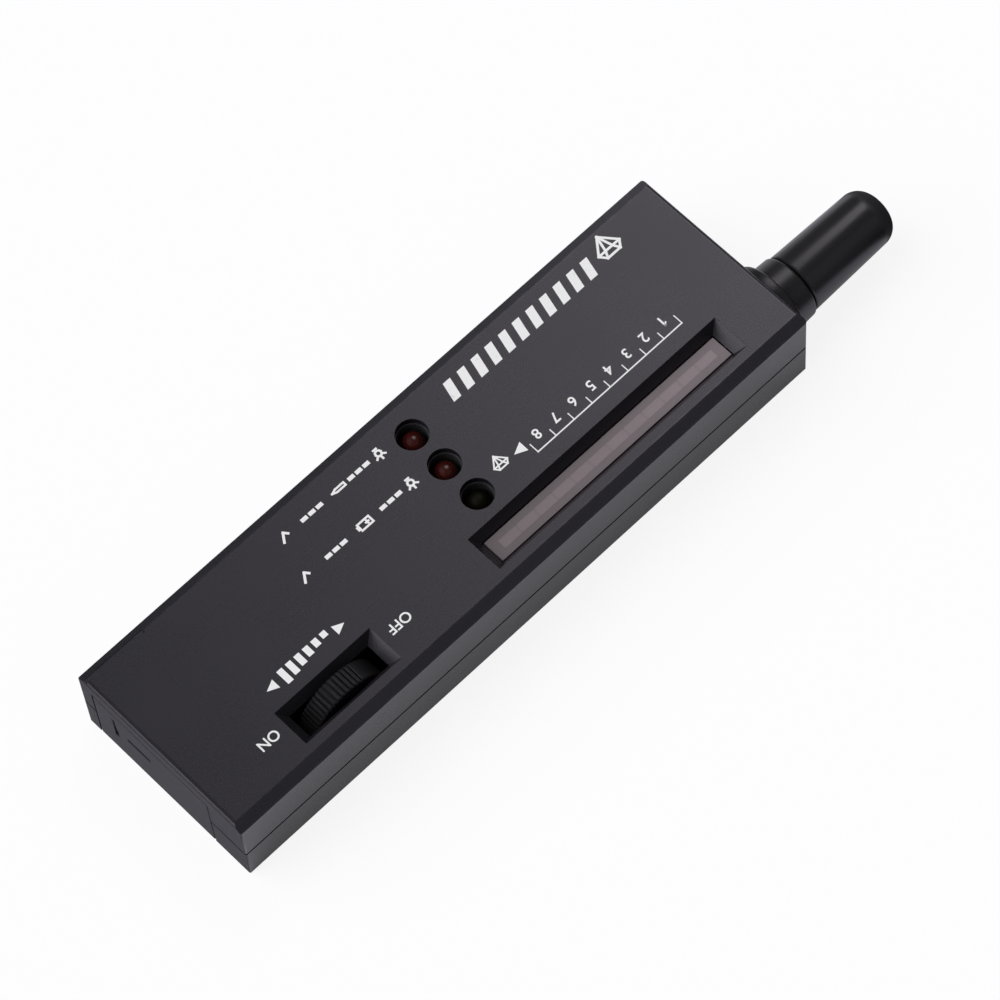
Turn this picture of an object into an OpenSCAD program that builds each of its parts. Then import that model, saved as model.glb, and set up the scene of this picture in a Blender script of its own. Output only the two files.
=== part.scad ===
// Handheld thermal tester for gemstones: a slim two-shell housing with a bar display, three
// lamps, a thumbwheel volume control, a 9 V battery and a sprung copper probe under a push-on cap.
// The origin is the centre of the housing's underside. X runs to the probe, -Y is the display
// side and Z is up.

/* [Housing] */
// Length of the housing without the probe
body_l = 144; // [141:0.5:160]
// Width of the housing
body_w = 43.5; // [42:0.5:50]
// Height of the housing
body_h = 20; // [19.5:0.1:24]
// Thickness of the side and end walls
wall = 1.5; // [1.2:0.1:1.9]
// Thickness of the top wall
top_wall = 1.6; // [1.2:0.1:2]
// Thickness of the floor
floor_t = 1.2; // [1:0.1:1.5]
// Height of the parting line between the two shells
seam_z = 8.7; // [6.5:0.1:9]
// Height of the shadow groove along the parting line
seam_gap = 0.5; // [0.2:0.05:0.6]
// Depth of the shadow groove
seam_depth = 0.45; // [0.2:0.05:0.8]
// Drop of the flat chamfer on the long top edges
chamfer_drop = 1.45; // [0.8:0.05:2]
// Width of that chamfer seen from above
chamfer_in = 2.1; // [0.8:0.05:2.4]
// Radius of the top edges at both ends
end_round = 1; // [0.4:0.1:1.5]
// Radius of the upright corners
corner_round = 0.4; // [0.4:0.1:1.5]
// Radius of the long bottom edges
bottom_round = 0.4; // [0.3:0.1:2]
// Length of the shallow groove on the far top edge, from the battery end
edge_groove_l = 14.5; // [5:0.5:30]
// Height of that groove
edge_groove_h = 0.5; // [0.2:0.05:0.8]
// Depth of that groove
edge_groove_d = 0.5; // [0.2:0.05:0.7]

/* [Windows] */
// Depth of the bevelled windows below the top face
window_depth = 2.5; // [2:0.1:3.5]
// Width of the bevel at the ends of the windows
window_end_bevel = 2.1; // [1:0.05:3]
// Width of the bevel along the sides of the windows
window_side_bevel = 1.45; // [0.5:0.05:1.6]
// Width of both windows at the top face
window_w = 8.4; // [8:0.05:9]
// Distance of both windows' middle line from the display side
row_from_side = 8.25; // [7.9:0.05:9]
// Length of the display window at the top face
display_window_l = 64; // [60:0.5:66]
// Distance of the display's middle from the probe end
display_from_tip = 43.75; // [41:0.25:48]
// Length of the wheel window at the top face
wheel_window_l = 23.7; // [22:0.1:28]
// Shift of the wheel's window towards the battery end, from midway between the two near screws
wheel_shift = 1; // [-1:0.05:1.2]
// Distance of the wheel's axis from the middle of its window, towards the probe
wheel_offset = 0.3; // [0:0.05:1.2]

/* [Display] */
// Gap between the bar display and the edge of its window
display_gap = 0.2; // [0.1:0.05:0.4]
// Number of segments in the bar display
segment_count = 12; // [8:1:14]
// Distance between segments
segment_pitch = 4.63; // [4:0.01:4.8]
// Length of one segment along the display
segment_l = 4.15; // [3:0.05:4.4]
// Width of one segment across the display
segment_w = 1.95; // [1:0.05:3]
// Thickness of one segment
segment_t = 0.6; // [0.3:0.1:1]
// Gap round each segment in its pocket
segment_gap = 0.03; // [0.02:0.01:0.1]

/* [Lamps] */
// Distance of the lamp row from the probe end
lamp_from_tip = 68; // [66:0.05:70]
// Distance of the first lamp from the far side
lamp_from_side = 8.35; // [7:0.05:9]
// Distance between lamps
lamp_pitch = 8.65; // [8:0.05:9]
// Diameter of the lamp holes in the top face
lamp_hole_d = 6.5; // [5.6:0.1:7]
// Diameter of the lamp lens
lamp_d = 5; // [3:0.1:5.4]
// Diameter of the flange at the lamp's foot
lamp_flange_d = 5.8; // [5.5:0.1:6.5]
// Height of that flange
lamp_flange_h = 1; // [0.5:0.1:2]
// Depth of the lens tip below the top face
lamp_recess = 1.5; // [0.5:0.1:4]

/* [Volume wheel] */
// Gap under the wheel, above the door's runner
wheel_floor_gap = 0.35; // [0.3:0.05:1.2]
// Thickness of the thumbwheel
wheel_t = 4.5; // [3.5:0.1:4.9]
// Height of the wheel's rim above the top face
wheel_stand = 0.3; // [-0.9:0.1:0.5]
// Number of ridge places round the wheel
ridge_count = 54; // [30:1:64]
// Number of neighbouring places left smooth at the OFF mark
smooth_count = 8; // [2:1:14]
// Depth of the grooves between ridges
ridge_depth = 0.4; // [0.2:0.05:0.6]
// Bevel on the wheel's two edges, in from the floor of the grooves
wheel_bevel = 0.15; // [0.1:0.05:0.4]
// Turn of the smooth part from straight up, towards the OFF end
smooth_turn = 48; // [20:1:70]
// Diameter of the shaft that carries the wheel
rotor_d = 4; // [3:0.1:5]
// Length of the shaft inside the wheel
rotor_in_wheel = 2.2; // [1.5:0.1:2.6]
// Radial clearance of the shaft in the control
rotor_clear = 0.05; // [0.02:0.01:0.1]
// Gap at the blind end of a shaft or screw
blind_gap = 0.3; // [0.2:0.05:0.4]
// Thickness of the control's back behind the shaft
pot_back = 0.6; // [0.5:0.1:1]
// Gap between the wheel and the control's case
wheel_case_gap = 0.4; // [0.3:0.05:0.8]
// Gap between the control's round case and the window's rim
pot_top_gap = 0.5; // [0.3:0.1:1.5]
// Width of the control's terminal block
pot_block_w = 10; // [7:0.5:14]
// Gap between the control's terminals and the floor
terminal_floor_gap = 0.3; // [0.3:0.1:0.8]
// Number of terminals on the control
terminal_count = 5; // [3:1:7]
// Width of one terminal
terminal_w = 0.9; // [0.5:0.1:1.2]
// Thickness of one terminal
terminal_t = 0.5; // [0.3:0.1:0.8]
// Length of one terminal
terminal_l = 1.2; // [0.5:0.1:1.4]
// Length of the upright board that carries the control
volume_board_l = 28; // [24:0.5:32]
// Gap between the upright board and the ceiling
volume_board_top_gap = 1.8; // [0.5:0.1:2.5]
// Thickness of the upright board
volume_board_t = 1.2; // [0.8:0.1:1.4]

/* [Battery] */
// Gap between the battery and the far wall, with the door's runner in it
battery_side_gap = 3.575; // [3.2:0.025:5]
// Gap between the battery and the ceiling of its bay
battery_top_gap = 0.35; // [0.3:0.05:0.8]
// Radius of the battery's long edges
battery_round = 1.5; // [0.5:0.1:3]
// Gap round the battery in its bay
battery_gap = 0.3; // [0.2:0.05:0.5]
// Distance between the battery's two terminals
battery_pole_pitch = 12.7; // [12:0.1:13]
// Diameter of the smaller terminal
pole_small_d = 5.7; // [5:0.1:6.5]
// Diameter of the larger terminal
pole_large_d = 8; // [7:0.1:8.6]
// Height of the terminals
pole_h = 2.9; // [2:0.1:3.2]
// Inset of the snap connector from the battery's sides
snap_in = 0.6; // [0.2:0.1:1]
// Height of the snap connector
snap_h = 12; // [10.5:0.1:13]
// Thickness of the snap connector's plate
snap_t = 1.8; // [1.2:0.1:2.2]
// Wall of the snap connector's cups
snap_wall = 0.8; // [0.5:0.1:1]
// Gap between a cup and its terminal
snap_gap = 0.05; // [0.03:0.01:0.1]

/* [Battery door] */
// Distance of the door's near edge from the display side
door_from_side = 9.2; // [8.9:0.05:9.5]
// Width of the door's end flap
door_w = 31.1; // [30.7:0.1:32]
// Distance of the end flap's top below the top face
flap_drop = 3.85; // [3:0.05:6]
// Thickness of the door's end flap
flap_t = 1.2; // [0.9:0.1:1.2]
// Gap round the door
door_gap = 0.3; // [0.2:0.05:0.35]
// Height of the door's underside above the surface that the tester lies on
door_lift = 0.15; // [0.1:0.05:0.3]
// Width of the floor's ledge under each of the door's runners
ledge_w = 1.1; // [0.8:0.1:1.4]
// Thickness of the door's two runners
runner_t = 0.65; // [0.5:0.05:0.7]
// Width of the runners
runner_w = 1.9; // [1.6:0.1:2.1]
// Depth of the grip grooves in the end flap
grip_depth = 0.5; // [0.2:0.1:0.7]
// Width of the grip grooves
grip_w = 1; // [0.5:0.1:1.5]
// Length of the upright grip groove
grip_up_l = 7; // [4:0.5:9]
// Length of the level grip groove
grip_level_l = 6; // [4:0.5:9]
// Height of the level grip groove
grip_z = 10; // [6:0.5:12]
// Distance of the upright groove from the door's far edge
grip_up_from_edge = 5.3; // [3:0.1:8]
// Distance between the upright groove and the level one
grip_apart = 3.3; // [2:0.1:6]
// Number of finger ridges under the door
rib_count = 7; // [3:1:10]
// Distance between finger ridges
rib_pitch = 2; // [1.6:0.1:3]
// Width of the grooves between finger ridges
rib_w = 0.9; // [0.5:0.1:1.2]
// Depth of those grooves
rib_depth = 0.4; // [0.2:0.05:0.5]
// Length of the finger ridges
rib_l = 14; // [8:0.5:20]
// Length of the foam pad on the door
pad_l = 30; // [15:0.5:38]
// Width of the foam pad
pad_w = 18; // [10:0.5:22]
// Thickness of the foam pad
pad_t = 0.6; // [0.3:0.1:0.8]

/* [Main board] */
// Height of the board's underside
board_z = 7.4; // [6.5:0.1:8]
// Thickness of the board
board_t = 1.6; // [1:0.1:1.8]
// Gap between the board and the walls
board_gap = 0.4; // [0.3:0.05:0.8]
// Length of the board
board_l = 86.75; // [86:0.25:88]
// Gap between the battery connector and the board
board_end_gap = 2; // [1.5:0.1:3]
// Diameter of the posts under the board
post_d = 5; // [4:0.1:6]
// Distance of the first post from the probe end
post_a_from_tip = 14; // [12:0.5:18]
// Distance of the first post from the far side
post_a_from_side = 8.5; // [8:0.5:10]
// Distance of the second post from the lamp row
post_b_from_lamps = 10.65; // [10:0.05:11]
// Distance of the second post from the display side
post_b_from_side = 15; // [14.5:0.5:16]
// Gap between the buzzer and the lamps' flanges
buzzer_lamp_gap = 3.1; // [2.6:0.1:5]
// Gap between the buzzer and the board's battery end
buzzer_edge_gap = 3.3; // [2.8:0.1:5]
// Gap between the buzzer and the ceiling
buzzer_top_gap = 1.4; // [1:0.1:4]
// Diameter of the buzzer's sound hole
buzzer_hole_d = 2.2; // [1:0.1:4]
// Depth of the buzzer's sound hole
buzzer_hole_depth = 1; // [0.5:0.1:2]
// Distance of the buzzer from the far side
buzzer_from_side = 15; // [14.5:0.5:16]
// Width of a chip's body
chip_w = 6.4; // [5:0.1:7]
// Height of a chip's body
chip_h = 3.3; // [2.5:0.1:4]
// Gap between a chip's body and the board
chip_stand = 0.5; // [0.3:0.1:0.8]
// Distance between a chip's two rows of legs
chip_row = 7.62; // [7.2:0.01:8]
// Distance between a chip's legs
leg_pitch = 2.54; // [2.4:0.01:2.6]
// Width of a chip's leg
leg_w = 0.9; // [0.5:0.1:1.2]
// Thickness of a chip's leg
leg_t = 0.4; // [0.3:0.1:0.6]
// Legs on each side of the amplifier chip
amplifier_legs = 7; // [4:1:8]
// Legs on each side of the bar driver chip
driver_legs = 9; // [4:1:9]
// Distance of the chips from the lamp row
chip_from_lamps = 25; // [24:0.5:26]
// Distance of the amplifier chip from the far side
amplifier_from_side = 12; // [10:0.1:12.6]
// Distance between the two chips
chip_apart = 11; // [10.4:0.1:11.2]

/* [Small parts on the board] */
// Number of resistors
resistor_count = 5; // [3:1:5]
// Length of a resistor's body
resistor_l = 6; // [4:0.1:6.5]
// Diameter of a resistor's body
resistor_d = 2.3; // [1.5:0.1:2.4]
// Distance between a resistor's legs
resistor_span = 9; // [8:0.1:10]
// Diameter of component legs
component_leg_d = 0.6; // [0.4:0.05:0.7]
// Distance between resistors
resistor_pitch = 2.9; // [2.7:0.1:3]
// Distance of the first resistor from the lamp row
resistor_from_lamps = 38.3; // [38:0.1:38.8]
// Distance of the resistors from the far side
resistor_from_side = 23.5; // [22.5:0.1:24]
// Number of electrolytic capacitors
can_count = 2; // [1:1:2]
// Diameter of an electrolytic capacitor
can_d = 6.3; // [4:0.1:6.5]
// Height of an electrolytic capacitor
can_h = 7; // [5:0.1:8]
// Distance between electrolytic capacitors
can_pitch = 8; // [7:0.1:9]
// Distance of the electrolytic capacitors from the lamp row
can_from_lamps = 8.6; // [8:0.1:9]
// Distance of the first electrolytic capacitor from the far side
can_from_side = 7.5; // [6:0.1:8.5]
// Number of transistors
transistor_count = 3; // [1:1:3]
// Diameter of a transistor's body
transistor_d = 4.6; // [4:0.1:5]
// Flat cut off a transistor's body, from its middle
transistor_flat = 1.2; // [0.8:0.1:1.6]
// Height of a transistor's body
transistor_h = 4.6; // [4:0.1:5]
// Gap between a transistor's body and the board
transistor_stand = 2; // [1:0.1:3]
// Distance between transistors
transistor_pitch = 6; // [5.4:0.1:6]
// Distance between a transistor's legs
transistor_leg_pitch = 1.27; // [1:0.01:1.4]
// Distance of the first transistor from the lamp row
transistor_from_lamps = 39; // [38.4:0.1:39.5]
// Distance of the transistors from the far side
transistor_from_side = 14.5; // [14:0.1:15]
// Number of disc capacitors
disc_count = 3; // [1:1:3]
// Diameter of a disc capacitor
disc_d = 4.6; // [3:0.1:4.8]
// Thickness of a disc capacitor
disc_t = 2; // [1.2:0.1:2.5]
// Gap between a disc capacitor and the board
disc_stand = 1; // [0.5:0.1:2]
// Distance between disc capacitors
disc_pitch = 4.5; // [3.5:0.1:5]
// Distance of the first disc capacitor from the lamp row
disc_from_lamps = 16; // [15:0.5:17]
// Distance of the disc capacitors from the far side
disc_from_side = 5.2; // [4.9:0.1:5.2]
// Gap above, between and below the two calibration trimmers
trimmer_gap = 0.9; // [0.6:0.1:1.5]
// Height of a calibration trimmer's case
trimmer_h = 4.5; // [3:0.1:6]
// Diameter of a trimmer's slotted screw
trimmer_screw_d = 3; // [2:0.1:4]
// Width of the slot in a trimmer's screw
trimmer_slot_w = 0.7; // [0.4:0.1:1]
// Depth of that slot
trimmer_slot_depth = 0.5; // [0.3:0.1:0.8]
// Height of a trimmer's screw above its case
trimmer_screw_h = 0.6; // [0.3:0.1:1]
// Distance of the first trimmer from the probe end
trimmer_from_tip = 6.5; // [6.2:0.1:7]

/* [Probe] */
// Distance of the probe's axis from the display side
probe_from_side = 10.7; // [10.4:0.05:11.4]
// Depth of the probe's axis below the top face
probe_drop = 10; // [9.6:0.1:10.2]
// Diameter of the collar's flange against the housing
flange_d = 17.6; // [15:0.1:18.6]
// Thickness of that flange
flange_t = 2.1; // [1:0.1:2.8]
// Diameter of the collar next to its flange
collar_d = 14.1; // [13.6:0.1:14.6]
// Diameter of the collar next to the cap
collar_end_d = 13.7; // [13.4:0.1:14]
// Length of the collar without its flange
collar_l = 4.7; // [4:0.1:8]
// Diameter of the collar's spigot inside the cap
spigot_d = 9.4; // [9:0.1:9.8]
// Length of that spigot
spigot_l = 6; // [4:0.1:8]
// Diameter of the collar's barrel through the wall
barrel_d = 10; // [9.4:0.1:10.6]
// Length of the barrel inside the housing, from the outer wall face
barrel_l = 9; // [7.5:0.1:10]
// Gap round the barrel in the wall
barrel_gap = 0.1; // [0.05:0.05:0.2]
// Width across the flats of the nut on the barrel
nut_flats = 13; // [12.4:0.1:13.4]
// Thickness of the nut
nut_t = 3.5; // [2.5:0.1:4]
// Diameter of the nose's shank in the collar
nose_shank_d = 6; // [5.4:0.1:6.6]
// Largest diameter of the nose in front of the collar
nose_d = 8.4; // [7.6:0.1:8.8]
// Diameter of the nose round the tip
nose_end_d = 3.2; // [2.6:0.1:4]
// Length of the nose's straight part in front of the collar
nose_straight = 1.5; // [0.5:0.1:2.5]
// Length of the nose's cone
nose_cone_l = 5; // [3:0.1:5.4]
// Diameter of the bore for the spring
spring_bore_d = 4; // [3.8:0.1:4.4]
// Diameter of the copper tip
tip_d = 1.5; // [1:0.1:1.8]
// Length of the copper tip in front of the nose
tip_out = 1.8; // [1.4:0.1:2.2]
// Radial clearance of the tip in the nose
tip_clear = 0.05; // [0.03:0.01:0.1]
// Distance from the front of the nose to the end of the spring bore
tip_guide_l = 4; // [3:0.1:4.5]
// Diameter of the shoulder on the tip
shoulder_d = 3.5; // [3:0.1:3.6]
// Thickness of that shoulder
shoulder_t = 1.2; // [0.8:0.1:1.6]
// Gap between the shoulder and the end of the spring bore
shoulder_gap = 0.1; // [0.05:0.05:0.2]
// Diameter of the tip's stem inside the spring
stem_d = 1.2; // [0.8:0.1:1.4]
// Length of that stem
stem_l = 4; // [3:0.1:5]
// Diameter of the heater bead on the stem
bead_d = 1.8; // [1.4:0.1:1.9]
// Length of the heater bead
bead_l = 2; // [1:0.1:2.2]
// Middle diameter of the spring's curls
spring_d = 3; // [2.9:0.05:3.1]
// Diameter of the spring's wire
spring_wire_d = 0.4; // [0.3:0.05:0.45]
// Number of curls in the spring
spring_curls = 7; // [4:1:7]
// Length of the spring at rest
spring_l = 8.8; // [8.4:0.1:10]
// Gap between the spring's ends and what they press on
spring_gap = 0.1; // [0.05:0.05:0.2]
// Length of the plug behind the spring
plug_l = 5; // [3:0.1:6]
// Radial gap of pieces that are pressed together
press_gap = 0.03; // [0.02:0.01:0.05]

/* [Cap] */
// Diameter of the cap at its mouth
cap_d = 13; // [12:0.1:13.4]
// Diameter of the cap near its closed end
cap_end_d = 12.1; // [11.2:0.1:12.6]
// Length of the cap
cap_l = 23.2; // [22:0.1:28]
// Gap between the collar and the cap
cap_gap = 0.35; // [0.3:0.05:0.6]
// Radial clearance of the cap on the spigot
cap_clear = 0.05; // [0.03:0.01:0.1]
// Radius of the shoulder round the closed end
cap_round = 3.8; // [2:0.1:5]
// Thickness of the closed end
cap_end_t = 2; // [1.4:0.1:3]
// Cone at the bottom of the cap's bore
cap_bore_cone = 1.2; // [0.5:0.1:2]

/* [Touch plate] */
// Length of the finger contact plate under the housing
plate_l = 44; // [20:0.5:48]
// Width of the plate
plate_w = 18; // [10:0.5:22]
// Thickness of the plate
plate_t = 0.4; // [0.3:0.05:0.5]
// Depth of its recess
plate_recess = 0.5; // [0.5:0.05:0.6]
// Gap round the plate
plate_gap = 0.15; // [0.1:0.05:0.3]
// Distance of the plate's middle from the probe end
plate_from_tip = 41.5; // [38:0.5:42]
// Diameter of the stud that brings the contact through the floor
plate_stud_d = 2.4; // [1.6:0.1:3]
// Height of that stud above the floor
plate_stud_h = 1; // [0.5:0.1:2]

/* [Fasteners] */
// Diameter of the case screws' thread
screw_d = 2.6; // [2.2:0.1:2.8]
// Diameter of the case screws' heads
screw_head_d = 4.6; // [4:0.1:4.8]
// Height of the case screws' heads
screw_head_h = 1.8; // [1.2:0.1:2]
// Length of the case screws under the head
screw_l = 10; // [8:0.5:11]
// Depth of the seats for the screw heads above the underside
screw_seat_z = 4.5; // [3.5:0.1:5]
// Gap round the case screws
screw_gap = 0.1; // [0.05:0.05:0.15]
// Width of the cross recess in the screw heads
cross_w = 0.7; // [0.5:0.1:0.9]
// Length of the cross recess
cross_l = 2.6; // [2:0.1:3]
// Depth of the cross recess
cross_depth = 0.9; // [0.5:0.1:1.1]
// Diameter of the bosses for the case screws
boss_d = 6.4; // [6.2:0.1:6.6]
// Distance of the end screws from the housing's ends
screw_from_end = 6.5; // [6:0.1:7]
// Distance of the middle screws from the board's battery end
screw_middle_in = 3.65; // [3.5:0.05:4]
// Distance of the screws from the housing's sides
screw_from_side = 5.6; // [5.2:0.1:5.8]
// Distance of the screw beside the door from the display side
screw_door_from_side = 4.6; // [4.5:0.05:4.7]
// Diameter of the small screws in the board and the wheel
small_screw_d = 1.6; // [1.4:0.1:2]
// Diameter of the small screws' heads
small_head_d = 3.6; // [3.2:0.1:3.8]
// Height of the small screws' heads
small_head_h = 1.1; // [0.8:0.1:1.2]
// Length of the small screws under the head
small_screw_l = 4.2; // [3.6:0.1:4.6]

/* [Leads] */
// Diameter of the leads
lead_d = 1.1; // [0.8:0.1:1.2]
// Distance between neighbouring leads
lead_pitch = 2; // [1.9:0.1:2.1]
// Diameter of the probe's leads
probe_lead_d = 0.8; // [0.6:0.1:0.9]
// Distance between the probe's two leads
probe_lead_apart = 2.4; // [2.2:0.1:2.6]
// Distance of the volume leads from the upright board's end
volume_lead_from_end = 2; // [1.5:0.1:2.5]
// Height of the lowest volume lead over the main board where it starts
volume_lead_rise = 2; // [1.8:0.1:2.5]
// Distance of the volume leads' lower ends from the main board's end
volume_lead_in = 2; // [1.5:0.1:2.2]
// Distance of the first volume lead's lower end from the battery bay
volume_lead_from_bay = 2.2; // [2:0.1:2.4]
// Height of the battery leads over the main board where they start
battery_lead_rise = 2.5; // [2:0.1:3]
// Distance of the battery leads' lower ends from the main board's end
battery_lead_in = 1.5; // [1.2:0.1:1.8]
// Distance of the probe leads' lower ends from the board's notch, along the tester
probe_lead_from_notch = 2.4; // [2.2:0.1:2.8]
// Distance of the first probe lead's lower end from the notch's side
probe_lead_from_side = 1.4; // [1.2:0.1:1.6]

/* [Hidden] */
$fn = 48;

// How far a cutter runs past the face that it opens
past = 1;
// How far a rib or boss sinks into the wall that carries it
root = 0.6;
lead_sides = 8;
lead_steps = 10;
lead_run = 0.6;
spring_sides = 6;
rings_per_curl = 8;

shell_black = [0.2, 0.2, 0.22];
part_black = [0.1, 0.1, 0.11];
lamp_red = [0.45, 0.06, 0.05];
lamp_olive = [0.12, 0.13, 0.05];
metal_grey = [0.75, 0.75, 0.77];

// Housing
x_tip = body_l / 2;
x_end = -body_l / 2;
y_near = -body_w / 2;
y_far = body_w / 2;
in_x = x_tip - wall;
in_y = y_far - wall;
ceiling = body_h - top_wall;
row_y = y_near + row_from_side;
window_z = body_h - window_depth;
display_x = x_tip - display_from_tip;
lamp_x = x_tip - lamp_from_tip;
board_top = board_z + board_t;
board_x1 = in_x - board_gap;
board_x0 = board_x1 - board_l;

// Screws
end_screw_x = x_end + screw_from_end;
middle_screw_x = board_x0 + screw_middle_in;
case_screw_places = [
    [x_tip - screw_from_end, y_far - screw_from_side],
    [middle_screw_x, y_far - screw_from_side],
    [middle_screw_x, y_near + screw_from_side],
    [end_screw_x, y_near + screw_door_from_side]
];
post_places = [
    [x_tip - post_a_from_tip, y_far - post_a_from_side],
    [lamp_x - post_b_from_lamps, y_near + post_b_from_side]
];

// Wheel and its control
wheel_window_x = (end_screw_x + middle_screw_x) / 2 - wheel_shift;
wheel_x = wheel_window_x + wheel_offset;
runner_z = floor_t + door_gap;
runner_top = runner_z + runner_t;
wheel_d = body_h + wheel_stand - runner_top - wheel_floor_gap;
wheel_z = body_h + wheel_stand - wheel_d / 2;
pot_d = 2 * (window_z - pot_top_gap - wheel_z);
wheel_y0 = row_y - wheel_t / 2;
wheel_y1 = row_y + wheel_t / 2;
pot_y1 = wheel_y0 - wheel_case_gap;
pot_y0 = -in_y + volume_board_t;
rotor_y1 = wheel_y0 + rotor_in_wheel;
rotor_y0 = pot_y0 + pot_back + blind_gap;
pot_block_z = floor_t + terminal_floor_gap + terminal_l;

// Battery bay
bay_wall = 0.8;
bay_y = row_y + window_w / 2;
battery_y0 = bay_y + battery_gap;
battery_w = in_y - battery_side_gap - battery_y0;
battery_y = battery_y0 + battery_w / 2;
snap_x = board_x0 - board_end_gap - snap_t;
snap_l = battery_w - 2 * snap_in;
battery_x0 = x_end + flap_t + 2 * battery_gap;
battery_x1 = snap_x - snap_gap - pole_h;
battery_l = battery_x1 - battery_x0;
battery_z0 = floor_t + door_lift + pad_t + battery_gap;
battery_t = ceiling - battery_top_gap - battery_z0;
battery_z = battery_z0 + battery_t / 2;

// Door
door_y0 = y_near + door_from_side;
door_y1 = door_y0 + door_w;
door_x1 = battery_x1 + pole_h;
flap_top = body_h - flap_drop;

// Probe, along X from the outer face of the end wall
probe_y = y_near + probe_from_side;
probe_z = body_h - probe_drop;
collar_x = x_tip + flange_t + collar_l;
spigot_x = collar_x + spigot_l;
cone_x = spigot_x + nose_straight;
nose_x = cone_x + nose_cone_l;
tip_x = nose_x + tip_out;
bore_end_x = nose_x - tip_guide_l;
shoulder_x = bore_end_x - shoulder_gap;
spring_x1 = shoulder_x - shoulder_t - spring_gap;
spring_x0 = spring_x1 - spring_l;
plug_x = spring_x0 - spring_gap;
barrel_x = x_tip - barrel_l;
cap_x = collar_x + cap_gap;
cap_tip_x = cap_x + cap_l;
nut_reach = nut_flats / 2 / cos(30);
notch_x = barrel_x - 2 * board_gap;
notch_y = probe_y + nut_reach + board_gap;

// Finger contact plate
plate_x = x_tip - plate_from_tip;
plate_z = plate_recess - plate_t;
stud_top = floor_t + plate_stud_h;

// Routes of the leads
wire_r = lead_d / 2;
volume_lead_count = 3;
volume_lead_reach = 4;
battery_lead_reach = 1.6;
volume_lead_x = wheel_x + volume_board_l / 2 - volume_lead_from_end;
volume_lead_start = [volume_lead_x, -in_y + volume_board_t, board_top + volume_lead_rise];
volume_lead_end = [board_x0 + volume_lead_in, bay_y - volume_lead_from_bay, board_top];
battery_lead_start = [snap_x + snap_t, battery_y, board_top + battery_lead_rise];
battery_lead_end = [board_x0 + battery_lead_in, battery_y, board_top];
probe_lead_reach = 3.5;
probe_lead_end = [notch_x - probe_lead_from_notch, notch_y - probe_lead_from_side, board_top];

// Working shapes

module along_x() {
    rotate([90, 0, 90]) children();
}

module along_y() {
    rotate([90, 0, 0]) children();
}

// A turned piece along X: children are drawn with the radius along x and the length along y
module turned_x(x, y, z) {
    translate([x, y, z]) rotate([0, 90, 0]) rotate_extrude() children();
}

module rounded_rectangle(l, w, r) {
    square([l - 2 * r, w], center = true);
    square([l, w - 2 * r], center = true);
    for (i = [-1, 1], j = [-1, 1]) {
        translate([i * (l / 2 - r), j * (w / 2 - r)]) circle(r);
    }
}

module box(low, high) {
    translate(low) cube(high - low);
}

function unit(v) = v / norm(v);

function bezier(a, b, c, d, t) =
    pow(1 - t, 3) * a + 3 * t * pow(1 - t, 2) * b + 3 * t * t * (1 - t) * c + pow(t, 3) * d;

// A lead's route: straight out of one place, a smooth bend, and straight into the other
function lead_route(a, out, d, into, reach) =
    let (b = a + lead_run * out, c = d - lead_run * into)
        concat(
            [a],
            [for (i = [0:lead_steps]) bezier(b, b + reach * out, c - reach * into, c, i / lead_steps)],
            [d]
        );

function tangent(p, i) = unit(p[min(i + 1, len(p) - 1)] - p[max(i - 1, 0)]);

// A closed tube along a path; across is never parallel to the path
module tube(path, r, across, sides) {
    rings = len(path);
    points = [
        for (i = [0:rings - 1])
            let (t = tangent(path, i), u = unit(cross(t, across)), v = cross(u, t))
                for (k = [0:sides - 1])
                    path[i] + r * (cos(360 * k / sides) * u + sin(360 * k / sides) * v)
    ];
    skin = [
        for (i = [0:rings - 2], k = [0:sides - 1])
            let (a = i * sides + k, b = i * sides + (k + 1) % sides)
                each [[a, b, b + sides], [a, b + sides, a + sides]]
    ];
    first = [for (k = [1:sides - 2]) [0, k + 1, k]];
    last = [for (k = [1:sides - 2]) (rings - 1) * sides * [1, 1, 1] + [0, k, k + 1]];
    polyhedron(points, concat(skin, first, last));
}

// A pan-head screw that points up, its head's underside at the origin
module screw(d, l, head_d, head_h) {
    difference() {
        union() {
            cylinder(d = d, h = l);
            translate([0, 0, -head_h]) cylinder(d = head_d, h = head_h);
        }
        for (turn = [0, 90]) {
            rotate(turn) translate([0, 0, -head_h]) cube([cross_l, cross_w, 2 * cross_depth], center = true);
        }
    }
}

// Housing

module housing_section() {
    polygon([
        [y_near, bottom_round],
        [y_near, body_h - chamfer_drop],
        [y_near + chamfer_in, body_h],
        [y_far - chamfer_in, body_h],
        [y_far, body_h - chamfer_drop],
        [y_far, bottom_round],
        [y_far - bottom_round, 0],
        [y_near + bottom_round, 0]
    ]);
    for (side = [-1, 1]) {
        translate([side * (y_far - bottom_round), bottom_round]) circle(bottom_round);
    }
}

module housing_side() {
    translate([-x_tip, 0]) square([body_l, body_h - end_round]);
    translate([-x_tip + end_round, 0]) square([body_l - 2 * end_round, body_h]);
    for (side = [-1, 1]) {
        translate([side * (x_tip - end_round), body_h - end_round]) circle(end_round);
    }
}

module housing_block() {
    intersection() {
        along_x() linear_extrude(body_l, center = true) housing_section();
        along_y() linear_extrude(body_w, center = true) housing_side();
        linear_extrude(body_h) rounded_rectangle(body_l, body_w, corner_round);
    }
}

module cavity() {
    box([-in_x, -in_y, floor_t], [in_x, in_y, ceiling]);
}

module below_seam() {
    box([x_end - past, y_near - past, -past], [x_tip + past, y_far + past, seam_z]);
}

module above_seam() {
    box([x_end - past, y_near - past, seam_z], [x_tip + past, y_far + past, body_h + past]);
}

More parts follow.
